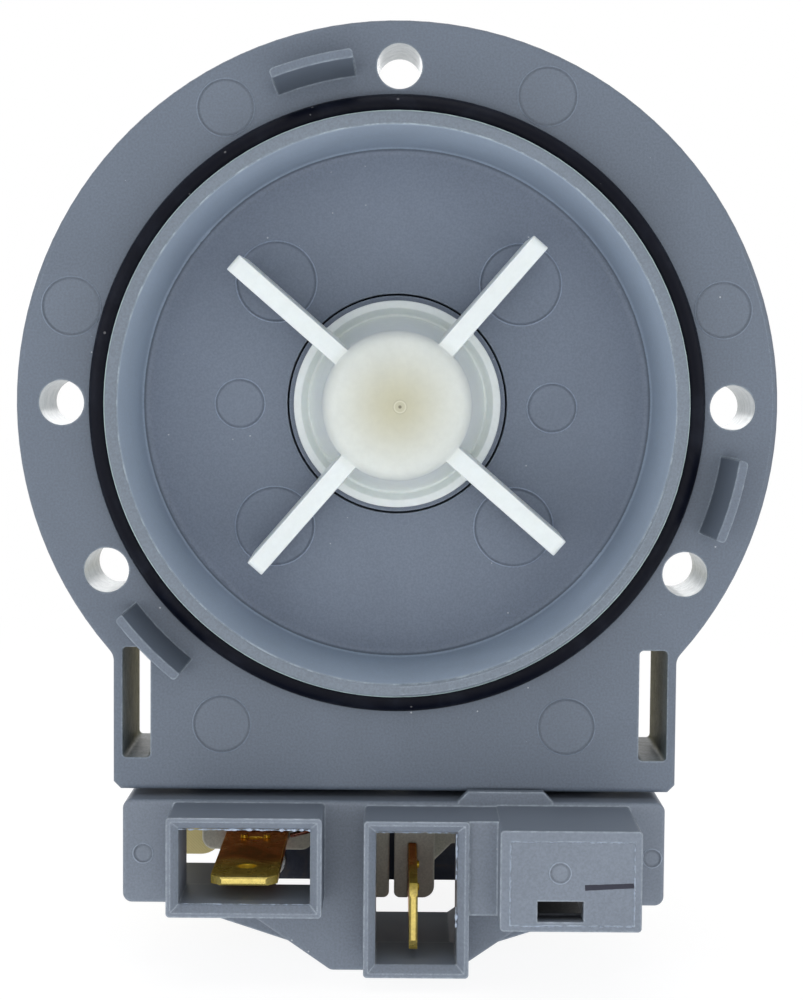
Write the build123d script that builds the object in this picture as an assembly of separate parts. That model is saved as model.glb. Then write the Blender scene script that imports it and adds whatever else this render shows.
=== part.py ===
from build123d import *
import os
from math import cos, degrees, radians, sin, sqrt, tan

# Washer drain pump
#
# The pieces are drawn as the pump is seen from its impeller side: x runs to the right,
# y runs up and z runs out of the impeller cup. Depths behind the flange face are negative z.
# At the end every piece is turned so that the pump axis lies level along Y with the impeller
# facing -Y, and Z points up. The origin is where the axis meets the flange's front face.
# All lengths are millimetres and all angles are degrees.

# Clearances shared by the whole pump
seat_gap = 0.02
assembly_gap = 0.3
running_clearance = 0.05
cut_overrun = 1.0

# Impeller cup and its collar
collar_radius = 27.2
collar_height = 6.0
rim_wall = 1.3
rim_edge_round = 0.3
cup_depth = 14.0
cup_draft = 0.7
cup_floor_thickness = 2.0
cup_floor_round = 0.8
ring_seat_step = 0.4
ring_seat_height = 2.7

# Flange plate
flange_border = 9.15
flange_thickness = 3.0
flange_edge_round = 0.5
plate_reach = 0.85
plate_corner_cut = 0.7
plate_neck_round = 1.5
skirt_depth = 8.5
skirt_wall = 1.8

# Screw holes through the flange
screw_hole_inset = 4.35
screw_hole_radius = 2.15
screw_boss_wall = 1.6
screw_boss_depth = 10.4
screw_hole_angles = (90, 0, 180, 210, 330)

# Lock lugs that twist into the filter housing
lug_angles = (104.5, 224.5, 344.5)
lug_inset = 3.15
lug_height = 5.0
lug_top_width = 0.85
lug_foot_width = 1.85
lug_length = 8.0
lug_corner_round = 0.4

# Slot sleeves in the lower plate
slot_width = 2.7
slot_length = 10.7
slot_rise = 3.1
slot_corner_round = 0.4
slot_cheek = 0.9
sleeve_wall = 1.2
sleeve_depth = 13.5

# Rotor can behind the cup
bore_radius = 10.9
can_wall = 1.3
can_end_thickness = 1.6
can_end_round = 1.0
pocket_radius = 5.9

# Stiffening ribs on the back of the flange
cup_rib_angles = (0, 45, 90, 135, 180)
cup_rib_inset = 1.7
cup_rib_core_gap = 2.0
rib_thickness = 1.4
rim_rib_angles = (20, 40, 60, 75, 105, 120, 140, 160, 195, 225, 315, 345)
rim_rib_depth = 4.0

# O-ring on the collar
o_ring_cord_radius = 1.2

# Impeller
impeller_cup_gap = 5.0
blade_angle = 49.2
blade_count = 4
blade_set_back = 0.3
blade_thickness = 2.1
blade_draft = 0.8
blade_corner_round = 0.6
hub_base_thickness = 0.9
hub_lip_height = 1.1
hub_lip_width = 0.75
hub_lip_gap = 0.8
hub_flare_width = 1.3
hub_flare_height = 5.5
hub_flare_round = 3.0
hub_foot_flare = 0.35
hub_shoulder_proud = 0.2
hub_shoulder_round = 2.2
hub_crown_height = 1.9
hub_wall = 1.5
pivot_sleeve_radius = 3.0
pivot_depth = 4.6
hub_cap_thickness = 1.2

# Lost-motion drive inside the hub
dog_height = 4.8
dog_sleeve_wall = 1.4
dog_arm_reach = 1.55
dog_angle = 270.0
dog_arm_sweep = 40.0
buffer_wall = 0.7
buffer_sweep = 60.0
stop_sweep = 58.0

# Shaft and magnet rotor
shaft_radius = 1.5
shaft_end_cut = 0.3
magnet_air_gap = 0.6
magnet_length = 25.0
magnet_core_radius = 4.2
magnet_edge_cut = 0.5
magnet_hub_inset = 1.7
magnet_hub_flange = 1.0

# Bearings
holder_height = 4.6
holder_wall = 1.5
holder_web = 1.7
holder_boss_wall = 2.0
holder_radial_gap = 0.2
holder_seal_width = 1.0
bush_radius = 3.0
bush_chamfer = 0.25
bush_length = 4.6
washer_thickness = 0.35
washer_radius = 3.5
rear_bush_length = 4.4
rear_holder_proud = 0.6
rear_holder_floor = 1.8

# Stator core
core_depth = 22.0
core_side = 5.1
core_top_margin = 1.8
core_corner_cut = 1.0
pole_gap = 0.2
pole_step = 0.5
yoke_cover_gap = 0.9
yoke_rivet_margin = 2.0
rivet_radius = 1.1
rivet_head_radius = 1.7
rivet_head_height = 0.5
rivet_inset = 4.5

# Stator screws, their washers and the bosses that they enter
core_screw_side_inset = 3.9
core_screw_top_inset = 3.6
core_screw_hole_radius = 1.7
core_boss_radius = 3.3
core_boss_floor = 1.8
screw_radius = 1.5
screw_tip_radius = 1.2
screw_head_radius = 2.8
screw_head_height = 2.0
screw_head_cut = 0.6
screw_drive_length = 3.4
screw_drive_width = 0.7
screw_drive_depth = 0.9
lock_washer_radius = 3.1
lock_washer_thickness = 0.5

# Coils
coil_can_gap = 2.8
coil_middle_gap = 2.3
coil_sleeve_gap = 0.45
slot_fit = 0.15
bobbin_wall = 0.9
bobbin_flange = 1.2
bobbin_flange_proud = 0.35
bobbin_corner_round = 1.5
winding_thickness = 2.7
tape_thickness = 0.25

# Terminal blocks below the bobbins
block_depth = 3.7
block_web = 1.5
block_corner_round = 1.2
left_block_side = 2.55
left_block_drop = 1.55
comb_cover_gap = 0.6
comb_proud = 2.4
comb_short = 0.7
comb_corner_round = 0.6
comb_split = 0.5
left_comb_width = 2.85
right_comb_left_side = 1.45
right_comb_right_side = 1.85
right_block_side = 1.5
right_block_drop = 6.4
right_block_slope = 1.8

# Push-on terminals
terminal_width = 6.3
terminal_thickness = 0.8
terminal_recess = 1.5
terminal_corner_cut = 1.1
terminal_edge_cut = 0.2
terminal_hole_radius = 0.85
terminal_hole_from_tip = 4.6
terminal_window_width = 1.4
terminal_window_length = 1.2
terminal_window_rise = 3.4
terminal_stake_radius = 0.38
terminal_stake_height = 0.3
terminal_stake_side = 1.15
terminal_stake_set_back = 0.4

# Link wire between the two coils
link_wire_radius = 0.25
link_wire_slope = 12.0
link_wire_bend = 1.2

# Thermal cut-out in its sleeve beside the yoke
cutout_width = 5.4
cutout_height = 7.4
cutout_length = 17.0
cutout_round = 2.4
sleeve_skin = 0.45

# Terminal cover
cover_gap = 0.7
cover_inset = 1.1
cover_face_z = 1.5
cover_plate = 1.5
cover_wall = 1.2
cover_corner_round = 0.9
cover_edge_round = 0.35
ear_margin = 0.4
vee_margin = 1.35
vee_bottom_half_width = 6.0
vee_top_half_width = 15.4
apron_half_width = 8.2
apron_rise = 4.0
apron_core_gap = 0.8
drip_rib_set_back = 5.5
drip_rib_thickness = 1.5

# Sockets on the terminal cover
socket_height = 7.0
socket_wall = 1.1
socket_lead_in = 0.7
left_socket_x = -13.875
left_socket_width = 14.45
left_socket_tall = 9.35
left_socket_inset = 0.25
left_terminal_shift = 0.125
left_terminal_drop = 1.625
middle_socket_x = 2.15
middle_socket_width = 9.8
middle_socket_tall = 14.7
middle_socket_inset = 0.45
middle_terminal_shift = 0.25
middle_terminal_drop = 2.15

# Closed block on the terminal cover, and the web that ties it to the middle socket
closed_block_x = 16.15
closed_block_width = 12.9
closed_block_tall = 9.25
closed_block_inset = 0.35
closed_block_height = 11.0
closed_block_skin = 1.2
notch_width = 4.2
notch_tall = 1.9
notch_shift = 0.95
notch_rise = 0.9
web_set_back = 0.4
web_rise = 0.3

# Catch and snap hooks that hold the cover on the flange
catch_x = 10.7
catch_width = 9.0
catch_reach = 1.0
catch_thickness = 1.1
catch_corner_cut = 0.9
hook_x = 17.0
hook_width = 5.0
hook_thickness = 1.2
hook_nose = 0.9
hook_ledge = 1.6

# Heights and radii of the cup and the flange
cup_floor_z = collar_height - cup_depth
cup_back_z = cup_floor_z - cup_floor_thickness
rim_inner_radius = collar_radius - rim_wall
floor_radius = rim_inner_radius - cup_draft
seat_radius = collar_radius - ring_seat_step
flange_radius = collar_radius + flange_border
hole_circle_radius = flange_radius - screw_hole_inset
lug_outer_radius = flange_radius - lug_inset
plate_drop = flange_radius + plate_reach
can_radius = bore_radius + can_wall

# Heights along the axis from the cup floor to the impeller's dome
holder_top_z = cup_floor_z - seat_gap
holder_bottom_z = holder_top_z - holder_height
holder_middle_z = (holder_top_z + holder_bottom_z) / 2
hub_bottom_z = holder_top_z + assembly_gap
hub_cap_top_z = hub_bottom_z + hub_cap_thickness
hub_floor_z = hub_bottom_z + hub_base_thickness
hub_shoulder_z = collar_height + hub_shoulder_proud
blade_top_z = collar_height - blade_set_back
impeller_radius = floor_radius - impeller_cup_gap
dog_sleeve_radius = shaft_radius + dog_sleeve_wall
dog_radius = dog_sleeve_radius + dog_arm_reach
buffer_radius = dog_radius + buffer_wall
chamber_radius = buffer_radius + assembly_gap
hub_top_radius = chamber_radius + hub_wall
hub_foot_radius = hub_top_radius + hub_foot_flare
hub_flare_radius = hub_foot_radius + hub_flare_width
hub_lip_inner_radius = hub_flare_radius + hub_lip_gap
hub_base_radius = hub_lip_inner_radius + hub_lip_width
dog_bottom_z = hub_cap_top_z + assembly_gap
dog_top_z = dog_bottom_z + dog_height
pivot_bottom_z = dog_top_z + assembly_gap
shaft_front_z = pivot_bottom_z + pivot_depth - assembly_gap

# Heights along the axis from the cup floor to the end of the can
front_bush_top_z = holder_top_z - bush_chamfer
front_bush_bottom_z = front_bush_top_z - bush_length
front_washer_z = front_bush_bottom_z - seat_gap
magnet_hub_front_z = front_washer_z - washer_thickness - running_clearance
magnet_front_z = magnet_hub_front_z - magnet_hub_flange
magnet_back_z = magnet_front_z - magnet_length
magnet_hub_back_z = magnet_back_z - magnet_hub_flange
magnet_radius = bore_radius - magnet_air_gap
magnet_hub_radius = magnet_radius - magnet_hub_inset
rear_washer_z = magnet_hub_back_z - running_clearance
rear_bush_top_z = rear_washer_z - washer_thickness - seat_gap
rear_bush_bottom_z = rear_bush_top_z - rear_bush_length
shaft_back_z = rear_bush_bottom_z + bush_chamfer
chamber_end_z = rear_bush_top_z - rear_holder_proud
pocket_end_z = rear_bush_bottom_z - rear_holder_floor
can_end_z = pocket_end_z - can_end_thickness
pocket_outer_radius = pocket_radius + can_wall

# Widths from the rotor can out to the sides of the plate and the cover
bobbin_margin = slot_fit + bobbin_wall
winding_margin = bobbin_margin + winding_thickness
tape_margin = winding_margin + tape_thickness
flange_margin = tape_margin + bobbin_flange_proud
leg_inner_x = coil_middle_gap / 2 + flange_margin
leg_outer_x = can_radius + pole_gap + core_side
leg_centre_x = (leg_inner_x + leg_outer_x) / 2
leg_width = leg_outer_x - leg_inner_x
slot_inner_x = leg_outer_x + flange_margin + coil_sleeve_gap + sleeve_wall
slot_outer_x = slot_inner_x + slot_width
plate_half_width = slot_outer_x + slot_cheek
cover_half_width = plate_half_width - cover_inset
neck_y = -sqrt(flange_radius ** 2 - plate_half_width ** 2)

# Heights from the plate's lower edge down through the sockets and the terminals
slot_bottom_y = slot_rise - plate_drop
slot_top_y = slot_bottom_y + slot_length
cover_top_y = -plate_drop - cover_gap
left_socket_top_y = cover_top_y - left_socket_inset
left_socket_bottom_y = left_socket_top_y - left_socket_tall
middle_socket_top_y = cover_top_y - middle_socket_inset
middle_socket_bottom_y = middle_socket_top_y - middle_socket_tall
closed_block_top_y = cover_top_y - closed_block_inset
closed_block_bottom_y = closed_block_top_y - closed_block_tall
cover_ear_bottom_y = left_socket_bottom_y - ear_margin
vee_bottom_y = middle_socket_bottom_y - vee_margin
left_terminal_x = left_socket_x - left_terminal_shift
left_terminal_y = (left_socket_top_y + left_socket_bottom_y) / 2 - left_terminal_drop
middle_terminal_x = middle_socket_x - middle_terminal_shift
middle_terminal_y = (middle_socket_top_y + middle_socket_bottom_y) / 2 - middle_terminal_drop
leg_bottom_y = middle_terminal_y - terminal_width / 2 + comb_short
left_block_left_x = left_terminal_x - terminal_width / 2 - left_block_side
left_block_right_x = left_terminal_x + terminal_width / 2 + left_block_side
left_block_bottom_y = left_terminal_y - left_block_drop
right_comb_left_x = middle_terminal_x - terminal_thickness / 2 - right_comb_left_side
right_comb_right_x = middle_terminal_x + terminal_thickness / 2 + right_comb_right_side
left_comb_right_x = right_comb_left_x - comb_split
left_comb_left_x = left_comb_right_x - left_comb_width

# Places on the stator core and the coils
core_top_y = can_radius + core_top_margin
yoke_top_y = cover_top_y - yoke_cover_gap
rivet_x = leg_outer_x - rivet_inset
rivet_y = left_block_bottom_y - assembly_gap - rivet_head_radius
yoke_bottom_y = rivet_y - yoke_rivet_margin
core_screw_x = leg_outer_x - core_screw_side_inset
core_screw_y = core_top_y - core_screw_top_inset
bobbin_top_y = -can_radius - coil_can_gap
bobbin_bottom_y = yoke_top_y + seat_gap
coil_top_y = bobbin_top_y - bobbin_flange
coil_bottom_y = bobbin_bottom_y + bobbin_flange
right_block_right_x = leg_outer_x + right_block_side
right_block_bottom_y = yoke_top_y - right_block_drop

# Depths from the cover's face back to the stator core
socket_mouth_z = cover_face_z + socket_height
closed_block_front_z = cover_face_z + closed_block_height
skirt_back_z = -skirt_depth - assembly_gap
cover_rear_z = skirt_back_z - hook_thickness
comb_front_z = cover_rear_z - comb_cover_gap
block_front_z = comb_front_z - comb_proud
block_back_z = block_front_z - block_depth
core_start_z = block_back_z - assembly_gap
core_end_z = core_start_z - core_depth
terminal_root_z = block_back_z + block_web
terminal_tip_z = socket_mouth_z - terminal_recess
cup_rib_back_z = core_start_z + cup_rib_core_gap
screw_end_z = cup_back_z - core_boss_floor

BASE = (Align.CENTER, Align.CENTER, Align.MIN)
CORNER = (Align.MIN, Align.MIN, Align.MIN)
upright = Rot(90, 0, 0)
parts = {}


# Shapes used by more than one piece

def disc(radius, low, high, at=(0, 0)):
    """A cylinder along z between two heights"""
    return Pos(at[0], at[1], low) * Cylinder(radius, high - low, align=BASE)


def tube(outer, inner, low, high, at=(0, 0)):
    """A plain tube along z between two heights"""
    overrun = disc(inner, low - cut_overrun, high + cut_overrun, at)
    return disc(outer, low, high, at) - overrun


def slab(x_ends, y_ends, z_ends):
    """A box between two planes in each direction"""
    size = [abs(b - a) for a, b in (x_ends, y_ends, z_ends)]
    corner = [min(ends) for ends in (x_ends, y_ends, z_ends)]
    return Pos(*corner) * Box(*size, align=CORNER)


def outline_face(points):
    """A flat face with straight sides"""
    return make_face(Polyline(*points, close=True))


def corner_of(face, point):
    """The corner of a face that lies nearest to a point"""
    return face.vertices().sort_by_distance(point)[0]


def eased(face, rounds=(), cuts=()):
    """A face with some corners rounded and others cut off, each by its own size"""
    for point, radius in rounds:
        face = fillet(corner_of(face, point), radius)
    for point, length in cuts:
        face = chamfer(corner_of(face, point), length)
    return face


def turned(points, rounds=(), cuts=(), sweep=360):
    """A solid turned about the pump axis from a profile of radius and height"""
    profile = eased(outline_face(points), rounds, cuts)
    return revolve(upright * profile, Axis.Z, sweep)


def sector(inner, outer, low, high, middle, sweep):
    """A part-turn block about the pump axis, centred on an angle"""
    points = ((inner, low), (outer, low), (outer, high), (inner, high))
    return Rot(0, 0, middle - sweep / 2) * turned(points, sweep=sweep)


def around(radius, angle):
    """A point on a circle about the pump axis"""
    return radius * cos(radians(angle)), radius * sin(radians(angle))


def outer_rims(body):
    """The two largest round edges of a body"""
    return body.edges().filter_by(GeomType.CIRCLE).sort_by(SortBy.RADIUS)[-2:]


def mirrored(piece):
    """The same shape on the other side of the pump"""
    return mirror(piece, about=Plane.YZ)


# Pump flange: plate, skirt, cup, collar and rotor can in one moulding

def flange_outline():
    """The round flange with the lower plate that carries the terminals"""
    plate = Pos(0, -plate_drop / 2) * Rectangle(2 * plate_half_width, plate_drop)
    outline = Circle(flange_radius) + plate
    for side in (-1, 1):
        low_corner = (side * plate_half_width, -plate_drop)
        outline = chamfer(corner_of(outline, low_corner), plate_corner_cut)
        neck = (side * plate_half_width, neck_y)
        outline = fillet(corner_of(outline, neck), plate_neck_round)
    return outline


def flange_shell():
    """The plate with its rounded front edge and the skirt behind it"""
    outline = flange_outline()
    plate = extrude(outline, -flange_thickness)
    front_edges = plate.faces().sort_by(Axis.Z)[-1].outer_wire().edges()
    plate = fillet(front_edges, flange_edge_round)
    skirt = extrude(outline - offset(outline, -skirt_wall), -skirt_depth)
    top_layer = slab((-flange_radius, flange_radius), (-plate_drop, flange_radius),
                     (0, -flange_thickness / 2))
    return plate + (skirt - top_layer)


def cup_and_can():
    """Collar, cup and rotor can, turned from one profile"""
    floor_corner = (floor_radius, cup_floor_z)
    rim_inside = (rim_inner_radius, collar_height)
    rim_outside = (collar_radius, collar_height)
    cup_corner = (collar_radius, cup_back_z)
    chamber_corner = (can_radius, chamber_end_z - can_wall)
    pocket_corner = (pocket_outer_radius, can_end_z)
    points = (
        (bore_radius, cup_floor_z), floor_corner, rim_inside, rim_outside,
        (collar_radius, ring_seat_height),
        (seat_radius, ring_seat_height - ring_seat_step),
        (seat_radius, -flange_thickness),
        (collar_radius, -flange_thickness), cup_corner,
        (can_radius, cup_back_z), chamber_corner,
        (pocket_outer_radius, chamber_end_z - can_wall), pocket_corner,
        (0, can_end_z), (0, pocket_end_z), (pocket_radius, pocket_end_z),
        (pocket_radius, chamber_end_z), (bore_radius, chamber_end_z),
    )
    rounds = ((floor_corner, cup_floor_round), (rim_inside, rim_edge_round),
              (rim_outside, rim_edge_round))
    cuts = ((cup_corner, cup_floor_round), (chamber_corner, can_end_round),
            (pocket_corner, can_end_round))
    return turned(points, rounds, cuts)


def lock_lug(angle):
    """A wedge bent round the flange, with a steep outer face and a sloping inner face"""
    sweep = degrees(lug_length / lug_outer_radius)
    points = ((lug_outer_radius - lug_foot_width, 0), (lug_outer_radius, 0),
              (lug_outer_radius, lug_height), (lug_outer_radius - lug_top_width, lug_height))
    wedge = turned(points, sweep=sweep)
    outer_corners = wedge.edges().filter_by(Axis.Z)
    return Rot(0, 0, angle - sweep / 2) * fillet(outer_corners, lug_corner_round)


def cup_rib(angle):
    """A gusset between the rotor can and the back of the cup"""
    root = can_radius - can_wall / 2
    reach = collar_radius - cup_rib_inset
    embedded_z = cup_back_z + cup_floor_thickness / 2
    points = ((root, embedded_z), (reach, embedded_z), (reach, cup_back_z),
              (can_radius, cup_rib_back_z), (root, cup_rib_back_z))
    gusset = extrude(upright * outline_face(points), rib_thickness / 2, both=True)
    return Rot(0, 0, angle) * gusset


def rim_rib(angle):
    """A rib across the trough between the cup and the skirt"""
    reach = (collar_radius - rim_wall / 2, flange_radius - skirt_wall / 2)
    depth = (-flange_thickness / 2, -flange_thickness - rim_rib_depth)
    return Rot(0, 0, angle) * slab(reach, (-rib_thickness / 2, rib_thickness / 2), depth)


def slot_sleeve(side):
    """The deep walls round one slot of the lower plate"""
    walls = slab((slot_inner_x - sleeve_wall, plate_half_width),
                 (slot_bottom_y - sleeve_wall, slot_top_y + sleeve_wall),
                 (-flange_thickness / 2, -sleeve_depth))
    return walls if side > 0 else mirrored(walls)


def slot_opening(side):
    """The slot itself, cut right through plate and sleeve"""
    middle = ((slot_inner_x + slot_outer_x) / 2, (slot_top_y + slot_bottom_y) / 2)
    opening = RectangleRounded(slot_width, slot_length, slot_corner_round)
    cut = extrude(Pos(*middle, cut_overrun) * opening, -sleeve_depth - 2 * cut_overrun)
    return cut if side > 0 else mirrored(cut)


def pump_flange():
    """The whole moulding"""
    body = flange_shell() - disc(collar_radius - rim_wall / 2, -skirt_depth, cut_overrun)
    body += cup_and_can()
    screw_places = [around(hole_circle_radius, angle) for angle in screw_hole_angles]
    for place in screw_places:
        boss_radius = screw_hole_radius + screw_boss_wall
        body += disc(boss_radius, -screw_boss_depth, -flange_thickness / 2, place)
    for angle in rim_rib_angles:
        body += rim_rib(angle)
    for angle in cup_rib_angles:
        body += cup_rib(angle)
    core_screw_places = [(side * core_screw_x, core_screw_y) for side in (-1, 1)]
    for side, place in zip((-1, 1), core_screw_places):
        body += slot_sleeve(side)
        body += disc(core_boss_radius, core_start_z, cup_back_z, place)
    for angle in lug_angles:
        body += lock_lug(angle)
    for place in screw_places:
        body -= disc(screw_hole_radius, -screw_boss_depth - cut_overrun, cut_overrun, place)
    for side, place in zip((-1, 1), core_screw_places):
        body -= slot_opening(side)
        pilot_radius = screw_tip_radius + running_clearance
        body -= disc(pilot_radius, core_start_z - cut_overrun, screw_end_z + assembly_gap, place)
    return body


parts["pump_flange"] = pump_flange()

# O-ring round the foot of the collar
ring_radius = seat_radius + o_ring_cord_radius + seat_gap
parts["o_ring"] = Pos(0, 0, o_ring_cord_radius + seat_gap) * Torus(ring_radius, o_ring_cord_radius)


# Impeller: domed hub, base ring and four straight blades

def domed(points, rounds):
    """A solid of revolution whose last corner runs over into a shallow dome"""
    radius, shoulder_z = points[-1]
    dome_radius = (radius ** 2 + hub_crown_height ** 2) / (2 * hub_crown_height)
    apex_z = shoulder_z + hub_crown_height
    halfway = radius / 2
    halfway_z = apex_z - dome_radius + sqrt(dome_radius ** 2 - halfway ** 2)
    crown = ThreePointArc(points[-1], (halfway, halfway_z), (0, apex_z))
    profile = make_face(Polyline(*points) + crown + Line((0, apex_z), points[0]))
    return revolve(upright * eased(profile, rounds), Axis.Z)


def hub_outside():
    """The hub's outer form: a bell with a flared foot, and the low lip round its base"""
    lip_top_z = hub_floor_z + hub_lip_height
    foot = (hub_foot_radius, hub_floor_z + hub_flare_height)
    shoulder = (hub_top_radius, hub_shoulder_z)
    points = (
        (0, hub_bottom_z),
        (hub_base_radius, hub_bottom_z),
        (hub_base_radius, lip_top_z),
        (hub_lip_inner_radius, lip_top_z),
        (hub_lip_inner_radius - hub_lip_height / 2, hub_floor_z),
        (hub_flare_radius, hub_floor_z),
        foot,
        shoulder,
    )
    return domed(points, ((foot, hub_flare_round), (shoulder, hub_shoulder_round)))


def hub_hollow():
    """The drive chamber, open at the back of the hub, with a cone-cut end"""
    low = hub_bottom_z - cut_overrun
    roof_z = hub_shoulder_z + hub_crown_height - hub_wall - assembly_gap
    roof_corner = (chamber_radius, roof_z)
    points = ((0, low), (chamber_radius, low), roof_corner, (0, roof_z))
    return turned(points, cuts=((roof_corner, hub_shoulder_round),))


def blade(angle):
    """One straight blade with draft towards its front edge"""
    height = blade_top_z - hub_floor_z
    spread = height * sin(radians(blade_draft))
    start = hub_top_radius - hub_wall / 2
    length = impeller_radius + spread - start
    base = Pos(start + length / 2, 0, hub_floor_z) * Rectangle(length, blade_thickness)
    body = extrude(base, height, taper=blade_draft)
    tip_edge = body.edges().filter_by(Axis.Y).group_by(Axis.Z)[-1].sort_by(Axis.X)[-1]
    body = fillet(tip_edge, blade_corner_round)
    return Rot(0, 0, angle) * body


def impeller():
    """Hub, blades, pivot and the stop that the drive dog pushes"""
    body = hub_outside()
    for number in range(blade_count):
        body += blade(blade_angle + number * 360 / blade_count)
    body -= hub_hollow()
    dome_middle_z = hub_shoulder_z + hub_crown_height - hub_wall / 2
    body += disc(pivot_sleeve_radius, pivot_bottom_z, dome_middle_z)
    body -= disc(shaft_radius + running_clearance, pivot_bottom_z - cut_overrun,
                 pivot_bottom_z + pivot_depth)
    stop_inner = dog_sleeve_radius + assembly_gap
    body += sector(stop_inner, chamber_radius + hub_wall / 4, hub_cap_top_z + seat_gap,
                   dog_top_z, dog_angle + 180, stop_sweep)
    return body


parts["impeller"] = impeller()
parts["hub_cap"] = tube(chamber_radius - seat_gap, shaft_radius + assembly_gap,
                        hub_bottom_z, hub_cap_top_z)


# Drive dog pressed on the shaft, with its rubber buffer

def dog_body():
    """A sleeve with one arm that reaches towards the chamber wall"""
    arm = sector(shaft_radius + assembly_gap, dog_radius, dog_bottom_z, dog_top_z,
                 dog_angle, dog_arm_sweep)
    bore = disc(shaft_radius + seat_gap, dog_bottom_z - cut_overrun, dog_top_z + cut_overrun)
    return disc(dog_sleeve_radius, dog_bottom_z, dog_top_z) + arm - bore


def dog_buffer():
    """The rubber cap over the arm that softens the blow on the stop"""
    outside = sector(dog_sleeve_radius + seat_gap, buffer_radius, dog_bottom_z, dog_top_z,
                     dog_angle, buffer_sweep)
    room = sector(shaft_radius, dog_radius + seat_gap, dog_bottom_z - cut_overrun,
                  dog_top_z + cut_overrun, dog_angle,
                  dog_arm_sweep + degrees(2 * seat_gap / dog_radius))
    return outside - room


parts["drive_dog"] = dog_body()
parts["dog_buffer"] = dog_buffer()


# Shaft, magnet and the plastic core moulded between them

def shaft():
    """A ground steel pin with cut ends"""
    pin = disc(shaft_radius, shaft_back_z, shaft_front_z)
    return chamfer(pin.edges().filter_by(GeomType.CIRCLE), shaft_end_cut)


def magnet_hub():
    """The plastic core that grips the shaft and holds the magnet between two flanges"""
    core = disc(magnet_core_radius - seat_gap, magnet_hub_back_z, magnet_hub_front_z)
    core += disc(magnet_hub_radius, magnet_front_z + seat_gap, magnet_hub_front_z)
    core += disc(magnet_hub_radius, magnet_hub_back_z, magnet_back_z - seat_gap)
    bore = disc(shaft_radius + seat_gap, magnet_hub_back_z - cut_overrun,
                magnet_hub_front_z + cut_overrun)
    return core - bore


def rotor_magnet():
    """The ring magnet"""
    ring = tube(magnet_radius, magnet_core_radius, magnet_back_z, magnet_front_z)
    return chamfer(outer_rims(ring), magnet_edge_cut)


parts["shaft"] = shaft()
parts["rotor_magnet"] = rotor_magnet()
parts["magnet_hub"] = magnet_hub()


# Bearings at both ends of the rotor

def bush(low, high):
    """A plain bearing bush with chamfered ends"""
    body = tube(bush_radius, shaft_radius + running_clearance, low, high)
    return chamfer(outer_rims(body), bush_chamfer)


def front_bearing_holder():
    """The plug that closes the cup floor and carries the front bush"""
    outer = bore_radius - holder_radial_gap
    boss = bush_radius + holder_boss_wall
    seat = bush_radius + seat_gap
    web_z = holder_top_z - holder_web
    points = (
        (seat, holder_top_z), (outer, holder_top_z), (outer, holder_bottom_z),
        (outer - holder_wall, holder_bottom_z), (outer - holder_wall, web_z),
        (boss, web_z), (boss, holder_bottom_z), (seat, holder_bottom_z),
    )
    half_groove = holder_seal_width / 2 + seat_gap
    groove = tube(outer + cut_overrun, seal_inner_radius - seat_gap,
                  holder_middle_z - half_groove, holder_middle_z + half_groove)
    return turned(points) - groove


def rear_bearing_holder():
    """The rubber cup that carries the rear bush in the end of the can"""
    top_z = rear_bush_top_z - bush_chamfer
    body = disc(pocket_radius - seat_gap, pocket_end_z + seat_gap, top_z)
    return body - disc(bush_radius + seat_gap, rear_bush_bottom_z - seat_gap, top_z + cut_overrun)


def thrust_washer(top_z):
    """A thin washer between a bush and the magnet core"""
    return tube(washer_radius, shaft_radius + running_clearance, top_z - washer_thickness, top_z)


seal_outer_radius = bore_radius - seat_gap
seal_inner_radius = seal_outer_radius - holder_seal_width
parts["front_bearing_holder"] = front_bearing_holder()
parts["holder_seal"] = tube(seal_outer_radius, seal_inner_radius,
                            holder_middle_z - holder_seal_width / 2,
                            holder_middle_z + holder_seal_width / 2)
parts["front_bearing"] = bush(front_bush_bottom_z, front_bush_top_z)
parts["front_thrust_washer"] = thrust_washer(front_washer_z)
parts["rear_thrust_washer"] = thrust_washer(rear_washer_z)
parts["rear_bearing"] = bush(rear_bush_bottom_z, rear_bush_top_z)
parts["rear_bearing_holder"] = rear_bearing_holder()


# Stator core: a U of laminations whose legs stand either side of the rotor can

def core_outline():
    """The lamination shape, with stepped pole arcs that set where the rotor rests"""
    height = core_top_y - yoke_bottom_y
    whole = Pos(0, core_top_y - height / 2) * Rectangle(2 * leg_outer_x, height)
    window = outline_face(((-leg_inner_x, yoke_top_y), (leg_inner_x, yoke_top_y),
                           (leg_inner_x, core_top_y + cut_overrun),
                           (-leg_inner_x, core_top_y + cut_overrun)))
    outline = whole - window
    outer_corners = [(side * leg_outer_x, y) for side in (-1, 1) for y in (core_top_y, yoke_bottom_y)]
    for corner in outer_corners:
        outline = chamfer(corner_of(outline, corner), core_corner_cut)
    arc_radius = can_radius + pole_gap
    step_reach = arc_radius + pole_step
    upper_left = Pos(-step_reach / 2, step_reach / 2) * Rectangle(step_reach, step_reach)
    lower_right = Pos(step_reach / 2, -step_reach / 2) * Rectangle(step_reach, step_reach)
    step = Circle(step_reach) & (upper_left + lower_right)
    return outline - Circle(arc_radius) - step


def stator_core():
    """The stack, with holes for the screws and rivets"""
    stack = Pos(0, 0, core_end_z) * extrude(core_outline(), core_depth)
    low = core_end_z - cut_overrun
    high = core_start_z + cut_overrun
    for side in (-1, 1):
        stack -= disc(core_screw_hole_radius, low, high, (side * core_screw_x, core_screw_y))
        stack -= disc(rivet_radius + seat_gap, low, high, (side * rivet_x, rivet_y))
    return stack


def core_rivet(side):
    """One of the rivets that hold the laminations together"""
    place = (side * rivet_x, rivet_y)
    shank = disc(rivet_radius, core_end_z, core_start_z, place)
    front = disc(rivet_head_radius, core_start_z, core_start_z + rivet_head_height, place)
    back = disc(rivet_head_radius, core_end_z - rivet_head_height, core_end_z, place)
    return shank + front + back


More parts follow.
